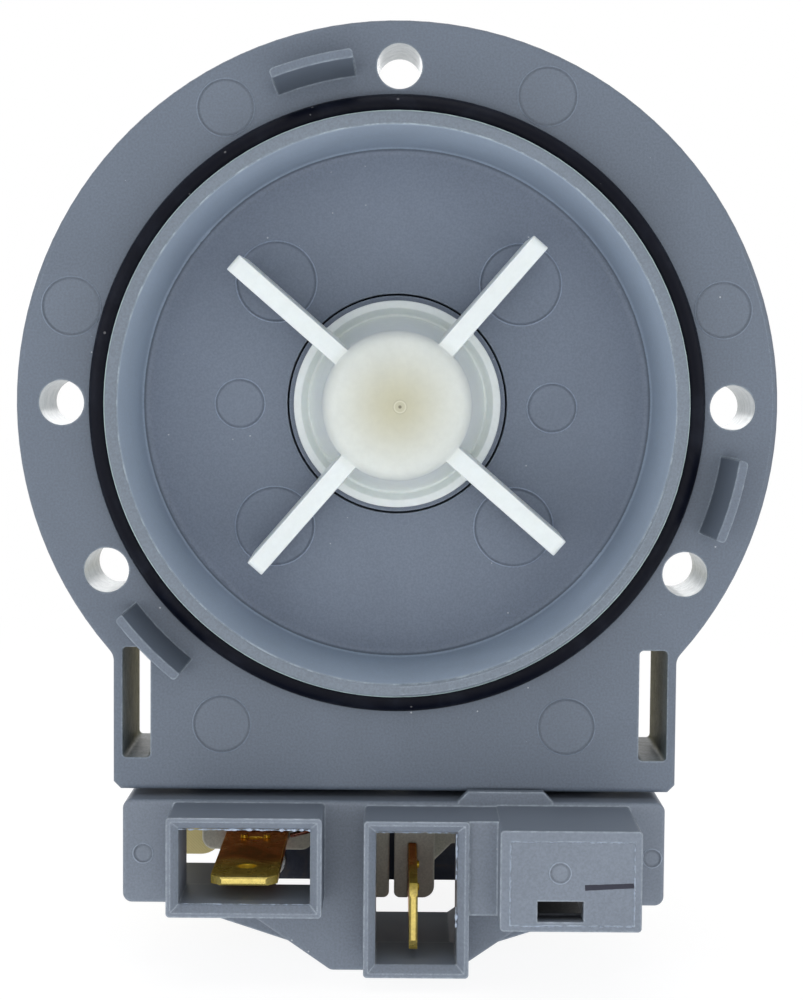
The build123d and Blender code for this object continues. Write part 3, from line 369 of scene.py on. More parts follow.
class Finish(Tree):
    """A new material and its surface shader, with the values that are the same all over."""

    def __init__(self, name, **uniform):
        material = bpy.data.materials.new(name)
        material.use_nodes = True
        super().__init__(material.node_tree)
        self.tree.nodes.clear()
        self.surface = self.tree.nodes.new("ShaderNodeBsdfPrincipled")
        self.output = self.tree.nodes.new("ShaderNodeOutputMaterial")
        self.tree.links.new(self.surface.outputs[0], self.output.inputs[0])
        for label, value in uniform.items():
            self.put(value, self.surface.inputs[label.replace("_", " ")])
        finishes[name] = material

    def show(self, colour, roughness, **others):
        """Feeds what changes over the piece into the surface."""
        for label, value in {"Base_Color": colour, "Roughness": roughness, **others}.items():
            self.put(value, self.surface.inputs[label.replace("_", " ")])

    def bump(self, height, depth, rounded=None):
        """Relief on the surface, as deep as given in metres, over the round of its edges."""
        self.put(self.node("ShaderNodeBump", {"Height": height, "Distance": depth, "Normal": rounded}),
                 self.surface.inputs["Normal"])

    def from_axis(self):
        """How far a point lies from the pump's axis, in metres, and the point's parts."""
        parts = self.parts(self.here())
        return self.maths("SQRT", parts[0] ** 2.0 + parts[2] ** 2.0), parts

    def moulded(self, colour, roughness, edge_highlight_gain):
        """Moulded plastic: mottled colour, pale flecks, edges painted paler as a painted highlight and a fine
        grain.
        """
        pale_fleck = (0.75, 0.77, 0.8, 1)
        edge_highlight_lift, edge_highlight_offset = (1.4, 1.4, 1.4), (0.2, 0.22, 0.225)
        grain = self.use("moulded_grain")
        tone = self.spread(grain["Mottle"], 0.45, 0.55) + self.spread(grain["Cloud"], -0.022, 0.022)
        body = self.shade(colour, tone)
        flecked = self.mix(grain["Fleck"] * 0.55, body, pale_fleck)
        edge = self.use("edge_wear_and_highlight", Width=usual_edge)
        # Painted highlight: the edges are painted paler than the body
        pale = self.vector("ADD", self.vector("MULTIPLY", body, edge_highlight_lift), edge_highlight_offset)
        self.bump(grain["Height"], moulded_depth, edge["Rounded"])
        return (self.mix(edge["Mask"] * edge_highlight_gain, flecked, pale),
                self.spread(grain["Mottle"], roughness - 0.06, roughness + 0.08))


def moulded(name, colour, roughness, edge_highlight_gain=0.5, **uniform):
    """A finish that is moulded plastic and nothing more."""
    t = Finish(name, **uniform)
    t.show(*t.moulded(colour, roughness, edge_highlight_gain))


# Where the flange's finishes change: bands of distance from the axis and of height above the plate
rim_band, rim_foot = (0.0259, 0.0275), 0.0052
wall_band, wall_heights = (0.0249, 0.02592), (-0.0077, 0.0062)
floor_radius, floor_heights = 0.0249, (-0.0084, -0.0076)
inner_line_band, outer_line_band = (0.02589, 0.02601), (0.0271, 0.0273)
crease_band, crease_heights = (0.0245, 0.0252), (-0.0079, -0.00766)
hole_circle, hole_angles, hole_reach = 0.032, (90, 0, 180, 210, 330), 0.0023
slot_across, slot_heights = (0.0234, 0.0263), (-0.0342, -0.0233)
plate_face = 0.0001
wall_facing = 0.3
# Pale tones painted on the hole walls: a painted reflection of the white surroundings
hole_reflection_tones = (0.74, 0.78, 0.8), (0.88, 0.91, 0.92)
sawn_tones = (0.3, 0.34, 0.36), (0.46, 0.5, 0.52)
drilled_gloss = 0.22


def housing_finish(colours):
    """The flange's grey with a paler collar rim; the cup's wall and floor painted paler as painted light; a
    painted highlight round the rim's outside, a pale flash line round its inside and painted shade in the
    floor's crease; and the hole walls painted pale as a painted reflection of the white surroundings.
    """
    t = Finish("housing_grey_fine", Specular_IOR_Level=0.4)
    radius, parts = t.from_axis()
    height = parts[1] * -1.0
    proud = height > rim_foot
    base = t.mix(t.between(radius, rim_band) * proud, linear(colours.housing), linear(colours.rim))
    # The cup's inner wall painted paler: painted light
    base = t.mix(t.between(radius, wall_band) * t.between(height, wall_heights), base, linear(colours.wall))
    # The cup's floor painted paler: painted light
    base = t.mix((radius < floor_radius) * t.between(height, floor_heights), base, linear(colours.cup_floor_painted_light))
    skin, rough = t.moulded(base, 0.5, 0.85)

    inner_tone, outer_highlight_tone, crease_shade_tone = (0.68, 0.73, 0.77), (0.7, 0.8, 0.79), (0.24, 0.27, 0.33)
    noise = t.noise(900.0, 4.0, 0.7)
    inner_line = t.between(radius, inner_line_band) * proud * t.ramp(noise, 0.45, 0.62, 0.2, 0.85)
    # Painted highlight: a thin pale line round the outside edge of the collar's rim
    outer_highlight = t.between(radius, outer_line_band) * proud * t.ramp(noise, 0.3, 0.6, 0.35, 0.8)
    # Painted shade: the crease where the cup's floor meets its wall is darkened
    crease_shade = t.between(radius, crease_band) * t.between(height, crease_heights)
    lined = t.mix(inner_line, skin, linear(inner_tone))
    lined = t.mix(outer_highlight, lined, linear(outer_highlight_tone))
    lined = t.mix(crease_shade * 0.2, lined, linear(crease_shade_tone))

    level = t.xyz(parts[0], 0.0, parts[2])
    hole = None
    for angle in hole_angles:
        centre = (hole_circle * cos(radians(angle)), 0.0, hole_circle * sin(radians(angle)))
        near = t.reach(level, centre) < hole_reach
        hole = near if hole is None else t.maths("MAXIMUM", hole, near)
    slot = t.between(abs(parts[0]), slot_across) * t.between(parts[2], slot_heights)
    facing = abs(t.normal()[1])
    cut = t.maths("MAXIMUM", hole, slot) * (facing < wall_facing) * (height < plate_face)
    pits = t.ramp(noise, 0.25, 0.75)
    # The hole walls are painted pale as a painted reflection; the slot walls get their pitted grey
    hole_reflection, sawn = [t.mix(pits, linear(dark), linear(pale)) for dark, pale in (hole_reflection_tones, sawn_tones)]
    glossy = t.maths("SUBTRACT", cut, slot, clamp=True)
    t.show(t.mix(cut, lined, t.mix(slot, hole_reflection, sawn)),
           t.node("ShaderNodeMix", {0: glossy, 2: rough, 3: drilled_gloss}, data_type="FLOAT"))


# The closed block's face: its pen stroke, the seam that runs round it and the painted shade in its notch
stroke_start, stroke_turn, stroke_length = (17.4, -43.43, 12.5), radians(2.9), 0.00458
stroke_halves = (0.00026, 0.00022)
face_front = 12.2
seam_middle, seam_half_size, seam_half_width = (0.01627, -0.04308), (0.00568, 0.00387), 0.00006
notch_across, notch_heights, notch_depths = (0.0129, 0.0173), (-0.0467, -0.0445), (12.3, 10.8)


def cover_finish(colours):
    """The terminal cover's grey, with a short pen stroke, a pale seam and painted shade inside the notch on
    the block.
    """
    seam_tone, notch_shade_tone = (0.66, 0.71, 0.77), (0.07, 0.07, 0.11)
    t = Finish("cover_grey_fine", Specular_IOR_Level=0.4)
    skin, rough = t.moulded(linear(colours.cover), 0.48, 1.0)
    parts = t.parts(t.here())
    noise = t.noise(1800.0, 3.0)
    shift = t.vector("SUBTRACT", t.here(), tuple(place(*stroke_start)))
    local = t.parts(t.node("ShaderNodeVectorRotate", {"Vector": shift, "Angle": stroke_turn},
                           rotation_type="Y_AXIS"))
    half = t.ramp(local[0], 0.0, 0.005, *stroke_halves)
    line = abs(local[2] + (noise - 0.5) * 0.00008) < half
    ahead = parts[1] < front(face_front)
    stroke = line * (local[0] > 0.0) * ((local[0] < stroke_length) * ahead)
    inked = t.mix(stroke * 0.96, skin, linear(colours.ink))

    shifts = [abs(parts[axis] - middle) - reach
              for axis, middle, reach in zip((0, 2), seam_middle, seam_half_size)]
    ragged = t.maths("MAXIMUM", *shifts) + (noise - 0.5) * 0.00016
    broken = t.ramp(noise, 0.4, 0.6, 0.05, 0.75)
    seam = t.between(ragged, (-seam_half_width, seam_half_width)) * ahead * broken
    seamed = t.mix(seam, inked, linear(seam_tone))
    # Painted shade: the inside of the notch is painted nearly black
    inside = (t.between(parts[0], notch_across) * t.between(parts[2], notch_heights)
              * t.ramp(parts[1], front(notch_depths[0]), front(notch_depths[1])))
    t.show(t.mix(inside * 0.9, seamed, linear(notch_shade_tone)), rough)


gate_place, gate_crown = (0.27, -0.04, 8.1), 7.2
gate_ring, gate_groove = (0.00046, 0.00058), (0.00058, 0.00068)


def impeller_finish(colours):
    """White plastic that light enters, with painted shade and light: the dome greyer and its middle darker and
    warmer where the dark hollow inside shows through the thin dome, the part deep in the cup whiter, the edges
    paler as a highlight, and the gate mark's ring and groove painted as its highlight and shade.
    """
    groove_shade_tone, ring_highlight_tone, pit_tone = (0.5, 0.48, 0.4), (0.9, 0.9, 0.86), (0.36, 0.34, 0.28)
    edge_highlight_tone = (0.93, 0.95, 0.96, 1)
    t = Finish("impeller_white_fine", Subsurface_Weight=0.25, Specular_IOR_Level=0.4,
               Subsurface_Radius=(0.0016, 0.0014, 0.0011), Subsurface_Scale=1.0)
    grain = t.use("moulded_grain", Fineness=1500.0, Cloud_size=140.0, Fleck_share=0.02)
    radius, parts = t.from_axis()
    # Painted shade on the dome: greyer, and darker and warmer in its middle, where the dark hollow inside
    # shows through
    middle = t.ramp(radius, 0.0, 0.0066, 1.0, 0.0)
    dome = t.ramp(radius, 0.0064, 0.0078, 1.0, 0.0)
    ahead = t.ramp(parts[1], front(2.0), front(6.5))
    # Painted light: everything deep in the cup is painted whiter, in place of the light that the cup shuts out
    low = t.ramp(parts[1], front(5.0), front(-1.0))
    painted_light_low = t.mix(low, linear(colours.impeller), linear(colours.foot))
    dome_shaded = t.mix(dome * ahead, painted_light_low, linear(colours.dome))
    base = t.mix(middle * ahead, dome_shaded, linear(colours.hub))
    tone = t.spread(grain["Mottle"], 0.49, 0.51) + t.spread(grain["Cloud"], -0.012, 0.012)
    # Painted highlight: the impeller's edges are painted paler
    edge = t.use("edge_wear_and_highlight", Width=0.0003)["Mask"]
    skin = t.mix(edge * 0.5, t.shade(base, tone), edge_highlight_tone)
    crown = parts[1] < front(gate_crown)
    gate = t.reach(t.here(), tuple(place(*gate_place)))
    # The gate mark's groove is painted darker as painted shade and its raised ring lighter as a painted
    # highlight; the pit's dark spot is the gate scar's own colour
    groove_shade = t.between(gate, gate_groove) * crown
    gated = t.mix(groove_shade * 0.2, skin, linear(groove_shade_tone))
    ring = t.between(gate, gate_ring) * crown
    gated = t.mix(ring * 0.3, gated, linear(ring_highlight_tone))
    pit = t.ramp(gate, 0.0001, 0.0002, 0.8, 0.0) * crown
    t.show(t.mix(pit, gated, linear(pit_tone)), t.spread(grain["Mottle"], 0.3, 0.46))
    t.bump(grain["Height"], 0.000012)


def rubber_finish(colours):
    """Black rubber with a bloom of dust in its grain."""
    dust_tone, fleck_tone = (0.3, 0.33, 0.4), (0.4, 0.4, 0.42, 1)
    t = Finish("seal_rubber_fine", Specular_IOR_Level=0.09)
    grain = t.use("moulded_grain", Fineness=3800.0, Cloud_size=220.0, Fleck_share=0.12)
    dust = t.ramp(grain["Cloud"], 0.45, 0.8, 0.0, 0.1)
    dusty = t.mix(dust, linear(colours.rubber), linear(dust_tone))
    t.show(t.mix(grain["Fleck"] * 0.3, dusty, fleck_tone), t.spread(grain["Mottle"], 0.3, 0.5))
    t.bump(grain["Height"], 0.00002)


level_hole, hole_edge = (-0.014, -0.0024, 0.0), (0.0009, 0.00115)


def brass_finish(colours):
    """Brass that heat has turned amber towards the root, with stains, drawn lines, bright cut edges and
    painted glints on the stakes' front faces and round the punched hole.
    """
    t = Finish("terminal_brass_fine", Metallic=0.7, Specular_Tint=(1.0, 0.7, 0.24, 1.0))
    tip_tone, olive_tone = (0.86, 0.78, 0.46), (0.34, 0.17, 0.03)
    cut_tone, glint_tone = (1.0, 0.88, 0.42), (1.0, 0.87, 0.3)
    drawn = t.use("drawn_metal", Stain_size=230.0)
    parts = t.parts(t.here())
    heated = t.ramp(parts[1] + (drawn["Stain"] - 0.5) * 0.008, front(3.5), front(-3.0))
    warm = t.mix(heated, linear(colours.brass), linear(colours.brass_root))
    body = t.mix(t.ramp(parts[1], front(5.6), front(6.9)), warm, linear(tip_tone))
    olive = t.mix(t.ramp(drawn["Stain"], 0.48, 0.7, 0.0, 0.6), body, linear(olive_tone))
    lines = t.shade(olive, t.spread(drawn["Lines"], 0.44, 0.56))
    cut = t.use("edge_wear_and_highlight", Width=0.0002, Raggedness=0.2)["Mask"]
    cut_bright = t.mix(cut * 0.85, lines, linear(cut_tone))
    # Painted highlight: a glint round the punched hole and on the stakes' faces that look to the front
    hole_rim_glint = t.ramp(t.reach(t.xyz(parts[0], parts[1], 0.0), level_hole), *hole_edge, 1.0, 0.0)
    stake_face_glint = (t.normal()[1] * -1.0 > 0.5) * (parts[1] > front(5.0))
    t.show(t.mix(t.maths("MAXIMUM", hole_rim_glint, stake_face_glint), cut_bright, linear(glint_tone)),
           t.spread(drawn["Stain"], 0.22, 0.4))
    t.bump(drawn["Height"], 0.000006)


def sheet_finish(colours):
    """Varnished electrical steel: dark, half metallic, with brown pools of varnish and edges painted paler as
    bare steel and as painted glint.
    """
    pool_tone, bare_and_glint_tone = (0.2, 0.13, 0.08), (0.5, 0.52, 0.56)
    t = Finish("lamination_fine", Coat_Roughness=0.2)
    drawn = t.use("drawn_metal", Line_fineness=2600.0, Stretch=0.3, Stain_size=300.0)
    edge = t.use("edge_wear_and_highlight", Width=0.00018, Raggedness=0.7)["Mask"]
    pools = t.ramp(drawn["Stain"], 0.52, 0.72, 0.0, 0.5)
    pooled = t.mix(pools, linear(colours.sheet), linear(pool_tone))
    # Paler edges: bare steel and a painted glint
    bare_and_glint = t.mix(edge * 0.6, pooled, linear(bare_and_glint_tone))
    t.show(t.shade(bare_and_glint, t.spread(drawn["Lines"], 0.43, 0.57)), t.spread(drawn["Lines"], 0.36, 0.54),
           Metallic=t.ramp(drawn["Stain"], 0.4, 0.7, 0.65, 0.3),
           Coat_Weight=t.ramp(drawn["Stain"], 0.5, 0.72, 0.1, 0.6))
    t.bump(drawn["Height"], 0.00001)


def steel_finish(colours):
    """Zinc plated steel with a cloudy passivated skin."""
    cloud_tone, bright_tone = (0.58, 0.57, 0.54), (0.85, 0.85, 0.86, 1)
    t = Finish("steel_fine", Metallic=1.0)
    drawn = t.use("drawn_metal", Line_fineness=4200.0, Stretch=0.5, Stain_size=500.0)
    edge = t.use("edge_wear_and_highlight", Width=0.00012, Raggedness=0.5)["Mask"]
    clouds = t.ramp(drawn["Stain"], 0.4, 0.7)
    cloudy = t.mix(clouds, linear(colours.steel), linear(cloud_tone))
    t.show(t.mix(edge * 0.4, cloudy, bright_tone), t.spread(drawn["Lines"], 0.22, 0.42))
    t.bump(drawn["Height"], 0.000006)


def copper_finish(colours):
    """Copper wire under a brown enamel."""
    brown_tone = (0.42, 0.2, 0.09)
    t = Finish("enamelled_copper_fine", Metallic=0.9, Coat_Roughness=0.12, Coat_IOR=1.5)
    drawn = t.use("drawn_metal", Line_fineness=3000.0, Stretch=1.0, Stain_size=600.0)
    browned = t.ramp(drawn["Stain"], 0.35, 0.7)
    t.show(t.mix(browned, linear(colours.copper), linear(brown_tone)),
           t.spread(drawn["Lines"], 0.24, 0.4), Coat_Weight=t.spread(drawn["Stain"], 0.7, 0.95))
    t.bump(drawn["Height"], 0.000005)


def tape_finish(colours):
    """Cream glass cloth tape with a light soil on its threads."""
    thread_tone, soil_tone = (0.92, 0.88, 0.7), (0.55, 0.5, 0.36)
    t = Finish("cream_tape_fine", Sheen_Weight=0.15, Specular_IOR_Level=0.3)
    weave = t.use("woven_tape")
    grain = t.use("moulded_grain", Fineness=900.0, Cloud_size=160.0)
    threads = t.mix(weave["Thread"] * 0.12, linear(colours.tape), linear(thread_tone))
    soil = t.ramp(grain["Cloud"], 0.5, 0.75, 0.0, 0.3)
    t.show(t.mix(soil, threads, linear(soil_tone)), t.spread(grain["Mottle"], 0.52, 0.72))
    t.bump(weave["Height"], 0.000015)


def ground_finish(name, colour, roughness, speckle, **uniform):
    """A dense ground or sintered face: dark body, paler crystals and grinding lines."""
    crystal_tone, worn_tone = (0.35, 0.35, 0.37, 1), (0.3, 0.3, 0.32, 1)
    t = Finish(name, **uniform)
    grain = t.use("moulded_grain", Fineness=4200.0, Cloud_size=300.0, Fleck_share=0.3)
    drawn = t.use("drawn_metal", Line_fineness=2500.0, Stretch=2.5)
    edge = t.use("edge_wear_and_highlight", Width=0.0002, Raggedness=0.6)["Mask"]
    flecked = t.mix(grain["Fleck"] * speckle, colour, crystal_tone)
    worn = t.mix(edge * 0.35, flecked, worn_tone)
    t.show(t.shade(worn, t.spread(drawn["Lines"], 0.42, 0.58)),
           t.spread(grain["Mottle"], roughness - 0.08, roughness + 0.1))
    t.bump(grain["Height"], 0.000015)


def lighter(colour, gain):
    """A screen colour made lighter and linear."""
    return linear([min(1, gain * part) for part in colour])


def make_finishes(colours):
    """Builds the shared effects and every finish, and puts the finishes on the solids' slots."""
    make_effects()
    for make in (housing_finish, cover_finish, impeller_finish, rubber_finish, brass_finish,
                 sheet_finish, steel_finish, copper_finish, tape_finish):
        make(colours)
    # Each finish's name, colour, roughness, strength of its painted edge highlight and uniform values
    for name, colour, roughness, edge_highlight_gain, uniform in (
            ("bobbin_grey", colours.bobbin, 0.42, 0.35, {"Specular_IOR_Level": 0.45}),
            ("dog_plastic", colours.dog, 0.4, 0.3, {}),
            ("washer_plastic", colours.washer, 0.36, 0.3, {}),
            ("cutout_case", colours.case, 0.35, 0.4, {"Coat_Weight": 0.2})):
        moulded(name + "_fine", linear(colour), roughness, edge_highlight_gain, **uniform)
    # The ejector marks' raised lines are painted lighter than their discs as a painted highlight; the cup
    # floor's marks also take the floor's painted light
    for kind, colour, gain in (("mark", colours.housing, 1.22), ("floor", colours.cup_floor_painted_light, 1.3),
                               ("cover", colours.cover, 1.3)):
        moulded(kind + "_disc_fine", linear(colour), 0.55, 0.0)
        moulded(kind + "_bead_fine", lighter(colour, gain), 0.42, 0.0)
    moulded("flash_fine", lighter(colours.cover, 1.5), 0.5, 0.3)
    ground_finish("ferrite_fine", linear(colours.magnet), 0.5, 0.3, Metallic=0.3)
    ground_finish("carbon_bush_fine", linear(colours.bush), 0.42, 0.15, Metallic=0.4)
    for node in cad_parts.values():
        for slot in node.material_slots:
            slot.material = finishes[slot.material.name.split(".")[0] + "_fine"]


# Shape helpers

def new_object(name, data):
    """An object at the origin of the scene."""
    made = bpy.data.objects.new(name, data)
    bpy.context.scene.collection.objects.link(made)
    return made


def new_piece(name, mesh, finish_name):
    """An object at the origin that shows a finished mesh in its finish."""
    mesh.name = name
    mesh.materials.clear()
    mesh.materials.append(finishes[finish_name])
    return new_object(name, mesh)


def new_mesh(name, work):
    """A mesh from a finished bmesh."""
    mesh = bpy.data.meshes.new(name)
    work.to_mesh(mesh)
    work.free()
    return mesh


def settle(piece, body, slot, *nodes):
    """Ties a piece to its body and hides the solids that it stands for; the slot is not used."""
    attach(piece, body)
    if nodes:
        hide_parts(*nodes)


def evaluated(piece):
    """The piece's modifiers turned into a plain mesh, with none left on it."""
    graph = bpy.context.evaluated_depsgraph_get()
    shown = bpy.data.meshes.new_from_object(piece.evaluated_get(graph))
    piece.modifiers.clear()
    old = piece.data
    piece.data = shown
    shown.name = piece.name
    if old.users == 0:
        bpy.data.meshes.remove(old)
    return piece


def whole_copy(node):
    """One solid's loose triangles joined, and its flat areas made whole faces."""
    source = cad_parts[node].data
    mesh = bpy.data.meshes.new(node + "_copy")
    mesh.from_pydata([v.co.copy() for v in source.vertices], [], [tuple(p.vertices) for p in source.polygons])
    work = bmesh.new()
    work.from_mesh(mesh)
    bmesh.ops.remove_doubles(work, verts=work.verts, dist=weld)
    bmesh.ops.dissolve_limit(work, angle_limit=flat_angle, verts=work.verts, edges=work.edges)
    work.to_mesh(mesh)
    work.free()
    return mesh


def smooth(mesh, angle=round_angle):
    """Smooth shading that keeps the edges sharper than the angle."""
    mesh.shade_smooth()
    mesh.set_sharp_from_angle(angle=angle)


def softened(name, node, body, slot, width):
    """A copy of one solid whose sharp edges are rounded, put in the solid's place."""
    piece = new_piece(name, whole_copy(node), slot + "_fine")
    smooth(piece.data)
    edge = piece.modifiers.new("soft edges", "BEVEL")
    edge.width = width
    edge.segments = 2
    edge.limit_method = "ANGLE"
    edge.angle_limit = round_angle
    edge.use_clamp_overlap = False
    edge.harden_normals = True
    settle(evaluated(piece), body, slot, node)


def tree_piece(name, mesh, tree, values):
    """An object whose mesh a geometry tree makes, with the values of the tree's inputs."""
    piece = new_object(name, mesh)
    modifier = piece.modifiers.new(name, "NODES")
    modifier.node_group = tree
    sockets = {s.name: s.identifier for s in tree.interface.items_tree if s.in_out == "INPUT"}
    for label, value in values.items():
        modifier[sockets[label]] = value
    return evaluated(piece)


def turned_profile(profile, steps):
    """A closed shape turned about the axis from (radius, height) points in millimetres."""
    work = bmesh.new()
    rings = []
    for radius, z in profile:
        if radius == 0:
            rings.append([work.verts.new(place(0, 0, z))] * steps)
            continue
        angles = [2 * pi * i / steps for i in range(steps)]
        rings.append([work.verts.new(place(radius * cos(a), radius * sin(a), z)) for a in angles])
    for low, high in zip(rings, rings[1:]):
        for i in range(steps):
            corners = [low[i], low[(i + 1) % steps], high[(i + 1) % steps], high[i]]
            unique = list(dict.fromkeys(corners))
            if len(unique) > 2:
                work.faces.new(unique)
    bmesh.ops.recalc_face_normals(work, faces=work.faces)
    return new_mesh("turned", work)


def rounded_box(width, tall, corner, steps=6):
    """Points round a box with round corners, in millimetres about its middle."""
    points = []
    for quarter, (sx, sy) in enumerate(((1, 1), (-1, 1), (-1, -1), (1, -1))):
        middle = (sx * (width / 2 - corner), sy * (tall / 2 - corner))
        for i in range(steps + 1):
            angle = pi / 2 * (quarter + i / steps)
            points.append((middle[0] + corner * cos(angle), middle[1] + corner * sin(angle)))
    return points


# Geometry trees

upright = (pi / 2, 0.0, 0.0)
mark_sides, bead_sides, thin_sides, cord_sides, ring_steps = 56, 8, 6, 28, 180
top_share = 0.985
flash_noise = 2600.0


def new_shape_tree(name, inputs):
    """A geometry tree with its named inputs: its tree, its inputs by name and its end node."""
    return new_group(name, "GeometryNodeTree", {"Geometry": "Geometry", **inputs}, {"Geometry": "Geometry"})


def circle(t, resolution, radius):
    """A circle as a curve."""
    return t.shape("CurvePrimitiveCircle", {"Resolution": resolution, "Radius": radius})


def swept(t, curve, profile, **inputs):
    """A profile swept along a curve."""
    return t.shape("CurveToMesh", {"Curve": curve, "Profile Curve": profile, **inputs})


def dressed(t, made, finish):
    """A shape with its instances made real, in its finish."""
    return t.shape("SetMaterial", {"Geometry": t.shape("RealizeInstances", [made]), "Material": finish})


def ended(t, end, shape):
    """The tree, with the shape as its result."""
    t.put(shape, end.inputs[0])
    return t.tree


def mark_tree():
    """Round ejector marks on points: a shallow disc inside a thin raised line."""
    t, given, end = new_shape_tree("ejector_marks", {
        "Bead": 0.00018, "Step": 0.00002, "Line finish": "Material", "Disc finish": "Material"})
    size = t.shape("InputNamedAttribute", ["mark_radius"], data_type="FLOAT")

    def stood(shape):
        return t.shape("InstanceOnPoints", {"Points": given["Geometry"], "Instance": shape,
                                            "Rotation": upright, "Scale": t.xyz(size, size, 1.0)})

    rings = t.shape("RealizeInstances", [stood(circle(t, mark_sides, 1.0))])
    line = swept(t, rings, circle(t, bead_sides, given["Bead"] / 2.0))
    line = t.shape("SetPosition", {"Geometry": line, "Offset": t.xyz(0.0, given["Bead"] * 0.3, 0.0)})
    line = t.shape("SetMaterial", {"Geometry": line, "Material": given["Line finish"]})
    disc = t.shape("MeshCone", {"Vertices": mark_sides, "Radius Top": top_share, "Radius Bottom": 1.0,
                                "Depth": given["Step"] * 2.0}, fill_type="NGON")
    disc = t.shape("Transform", {"Geometry": disc, "Translation": t.xyz(0.0, 0.0, given["Step"] * -1.0)})
    joined = t.shape("JoinGeometry", [dressed(t, stood(disc), given["Disc finish"])])
    t.put(line, joined.socket.node.inputs[0])
    return ended(t, end, joined)


def flash_tree():
    """Ragged mould flash: a thin bead along an edge whose thickness and place wander."""
    t, given, end = new_shape_tree("mould_flash", {
        "Bead": 0.00007, "Wander": 0.00008, "Spacing": 0.00012, "Seed": 3.0, "Finish": "Material"})
    curve = t.shape("MeshToCurve", [given["Geometry"]])
    fine = t.shape("ResampleCurve", {"Curve": curve, "Length": given["Spacing"]}, mode="LENGTH")
    noise = t.node("ShaderNodeTexNoise", {"Vector": t.shape("InputPosition"), "W": given["Seed"],
                                          "Scale": flash_noise, "Detail": 3.0}, noise_dimensions="4D")
    centred = t.vector("SUBTRACT", noise["Color"], (0.5, 0.5, 0.5))
    wander = t.node("ShaderNodeVectorMath", {0: centred, "Scale": given["Wander"]}, operation="SCALE")
    moved = t.shape("SetPosition", {"Geometry": fine, "Offset": wander})
    girth = t.ramp(noise, 0.35, 0.7, 0.25, 1.6)
    sized = t.shape("SetCurveRadius", {"Curve": moved, "Radius": girth})
    bead = swept(t, sized, circle(t, thin_sides, given["Bead"]), **{"Scale": girth, "Fill Caps": True})
    return ended(t, end, dressed(t, bead, given["Finish"]))


def sheet_tree():
    """A stack of equal core sheets, one behind the other along the axis."""
    t, given, end = new_shape_tree("core_sheets", {"Sheets": 44, "Pitch": 0.0005, "Finish": "Material"})
    row = t.shape("MeshLine", {"Count": given["Sheets"], "Offset": t.xyz(0.0, given["Pitch"], 0.0)})
    stack = t.shape("InstanceOnPoints", {"Points": row, "Instance": given["Geometry"]})
    return ended(t, end, dressed(t, stack, given["Finish"]))


def winding_tree():
    """One wire wound in layers over a bobbin, to and fro along the axis."""
    t, given, end = new_shape_tree("layered_winding", {
        "Half width": 0.01, "Half height": 0.01, "Length": 0.029, "Turns": 60, "Layers": 3, "Steps": 24,
        "Wire radius": 0.0002, "Squareness": 0.28, "Finish": "Material"})
    per_layer = given["Turns"] * given["Steps"]
    line = t.shape("MeshLine", {"Count": per_layer * given["Layers"], "Offset": (0.0, 0.0, 0.0001)})
    index = t.shape("InputIndex")
    layer = t.maths("FLOOR", index / per_layer)
    angle = index / given["Steps"] * (2 * pi)
    along = t.maths("PINGPONG", index / per_layer, 1.0) * given["Length"]
    thinner = layer * (given["Wire radius"] * 1.8)
    sides = []
    for wave, half in (("COSINE", "Half width"), ("SINE", "Half height")):
        value = t.maths(wave, angle)
        squared = t.maths("SIGN", value) * abs(value) ** given["Squareness"]
        sides.append(squared * (given[half] - thinner))
    laid = t.shape("SetPosition", {"Geometry": line, "Position": t.xyz(sides[0], along, sides[1])})
    profile = circle(t, thin_sides, given["Wire radius"])
    wire = swept(t, t.shape("MeshToCurve", [laid]), profile, **{"Fill Caps": True})
    return ended(t, end, dressed(t, wire, given["Finish"]))


def ring_tree():
    """A round cord closed into a ring, with a fine mould line round its outside."""
    t, given, end = new_shape_tree("seal_ring", {
        "Ring radius": 0.028, "Cord radius": 0.0012, "Mould line": 0.0001, "Height": 0.0012,
        "Finish": "Material"})
    line_radius = given["Ring radius"] + (given["Cord radius"] - given["Mould line"] * 0.3)
    cord = swept(t, circle(t, ring_steps, given["Ring radius"]), circle(t, cord_sides, given["Cord radius"]))
    line = swept(t, circle(t, ring_steps, line_radius), circle(t, thin_sides, given["Mould line"] * 0.5))
    joined = t.shape("JoinGeometry", [cord])
    t.put(line, joined.socket.node.inputs[0])
    placed = t.shape("Transform", {"Geometry": joined, "Rotation": upright,
                                   "Translation": t.xyz(0.0, given["Height"] * -1.0, 0.0)})
    return ended(t, end, dressed(t, placed, given["Finish"]))


# Operators

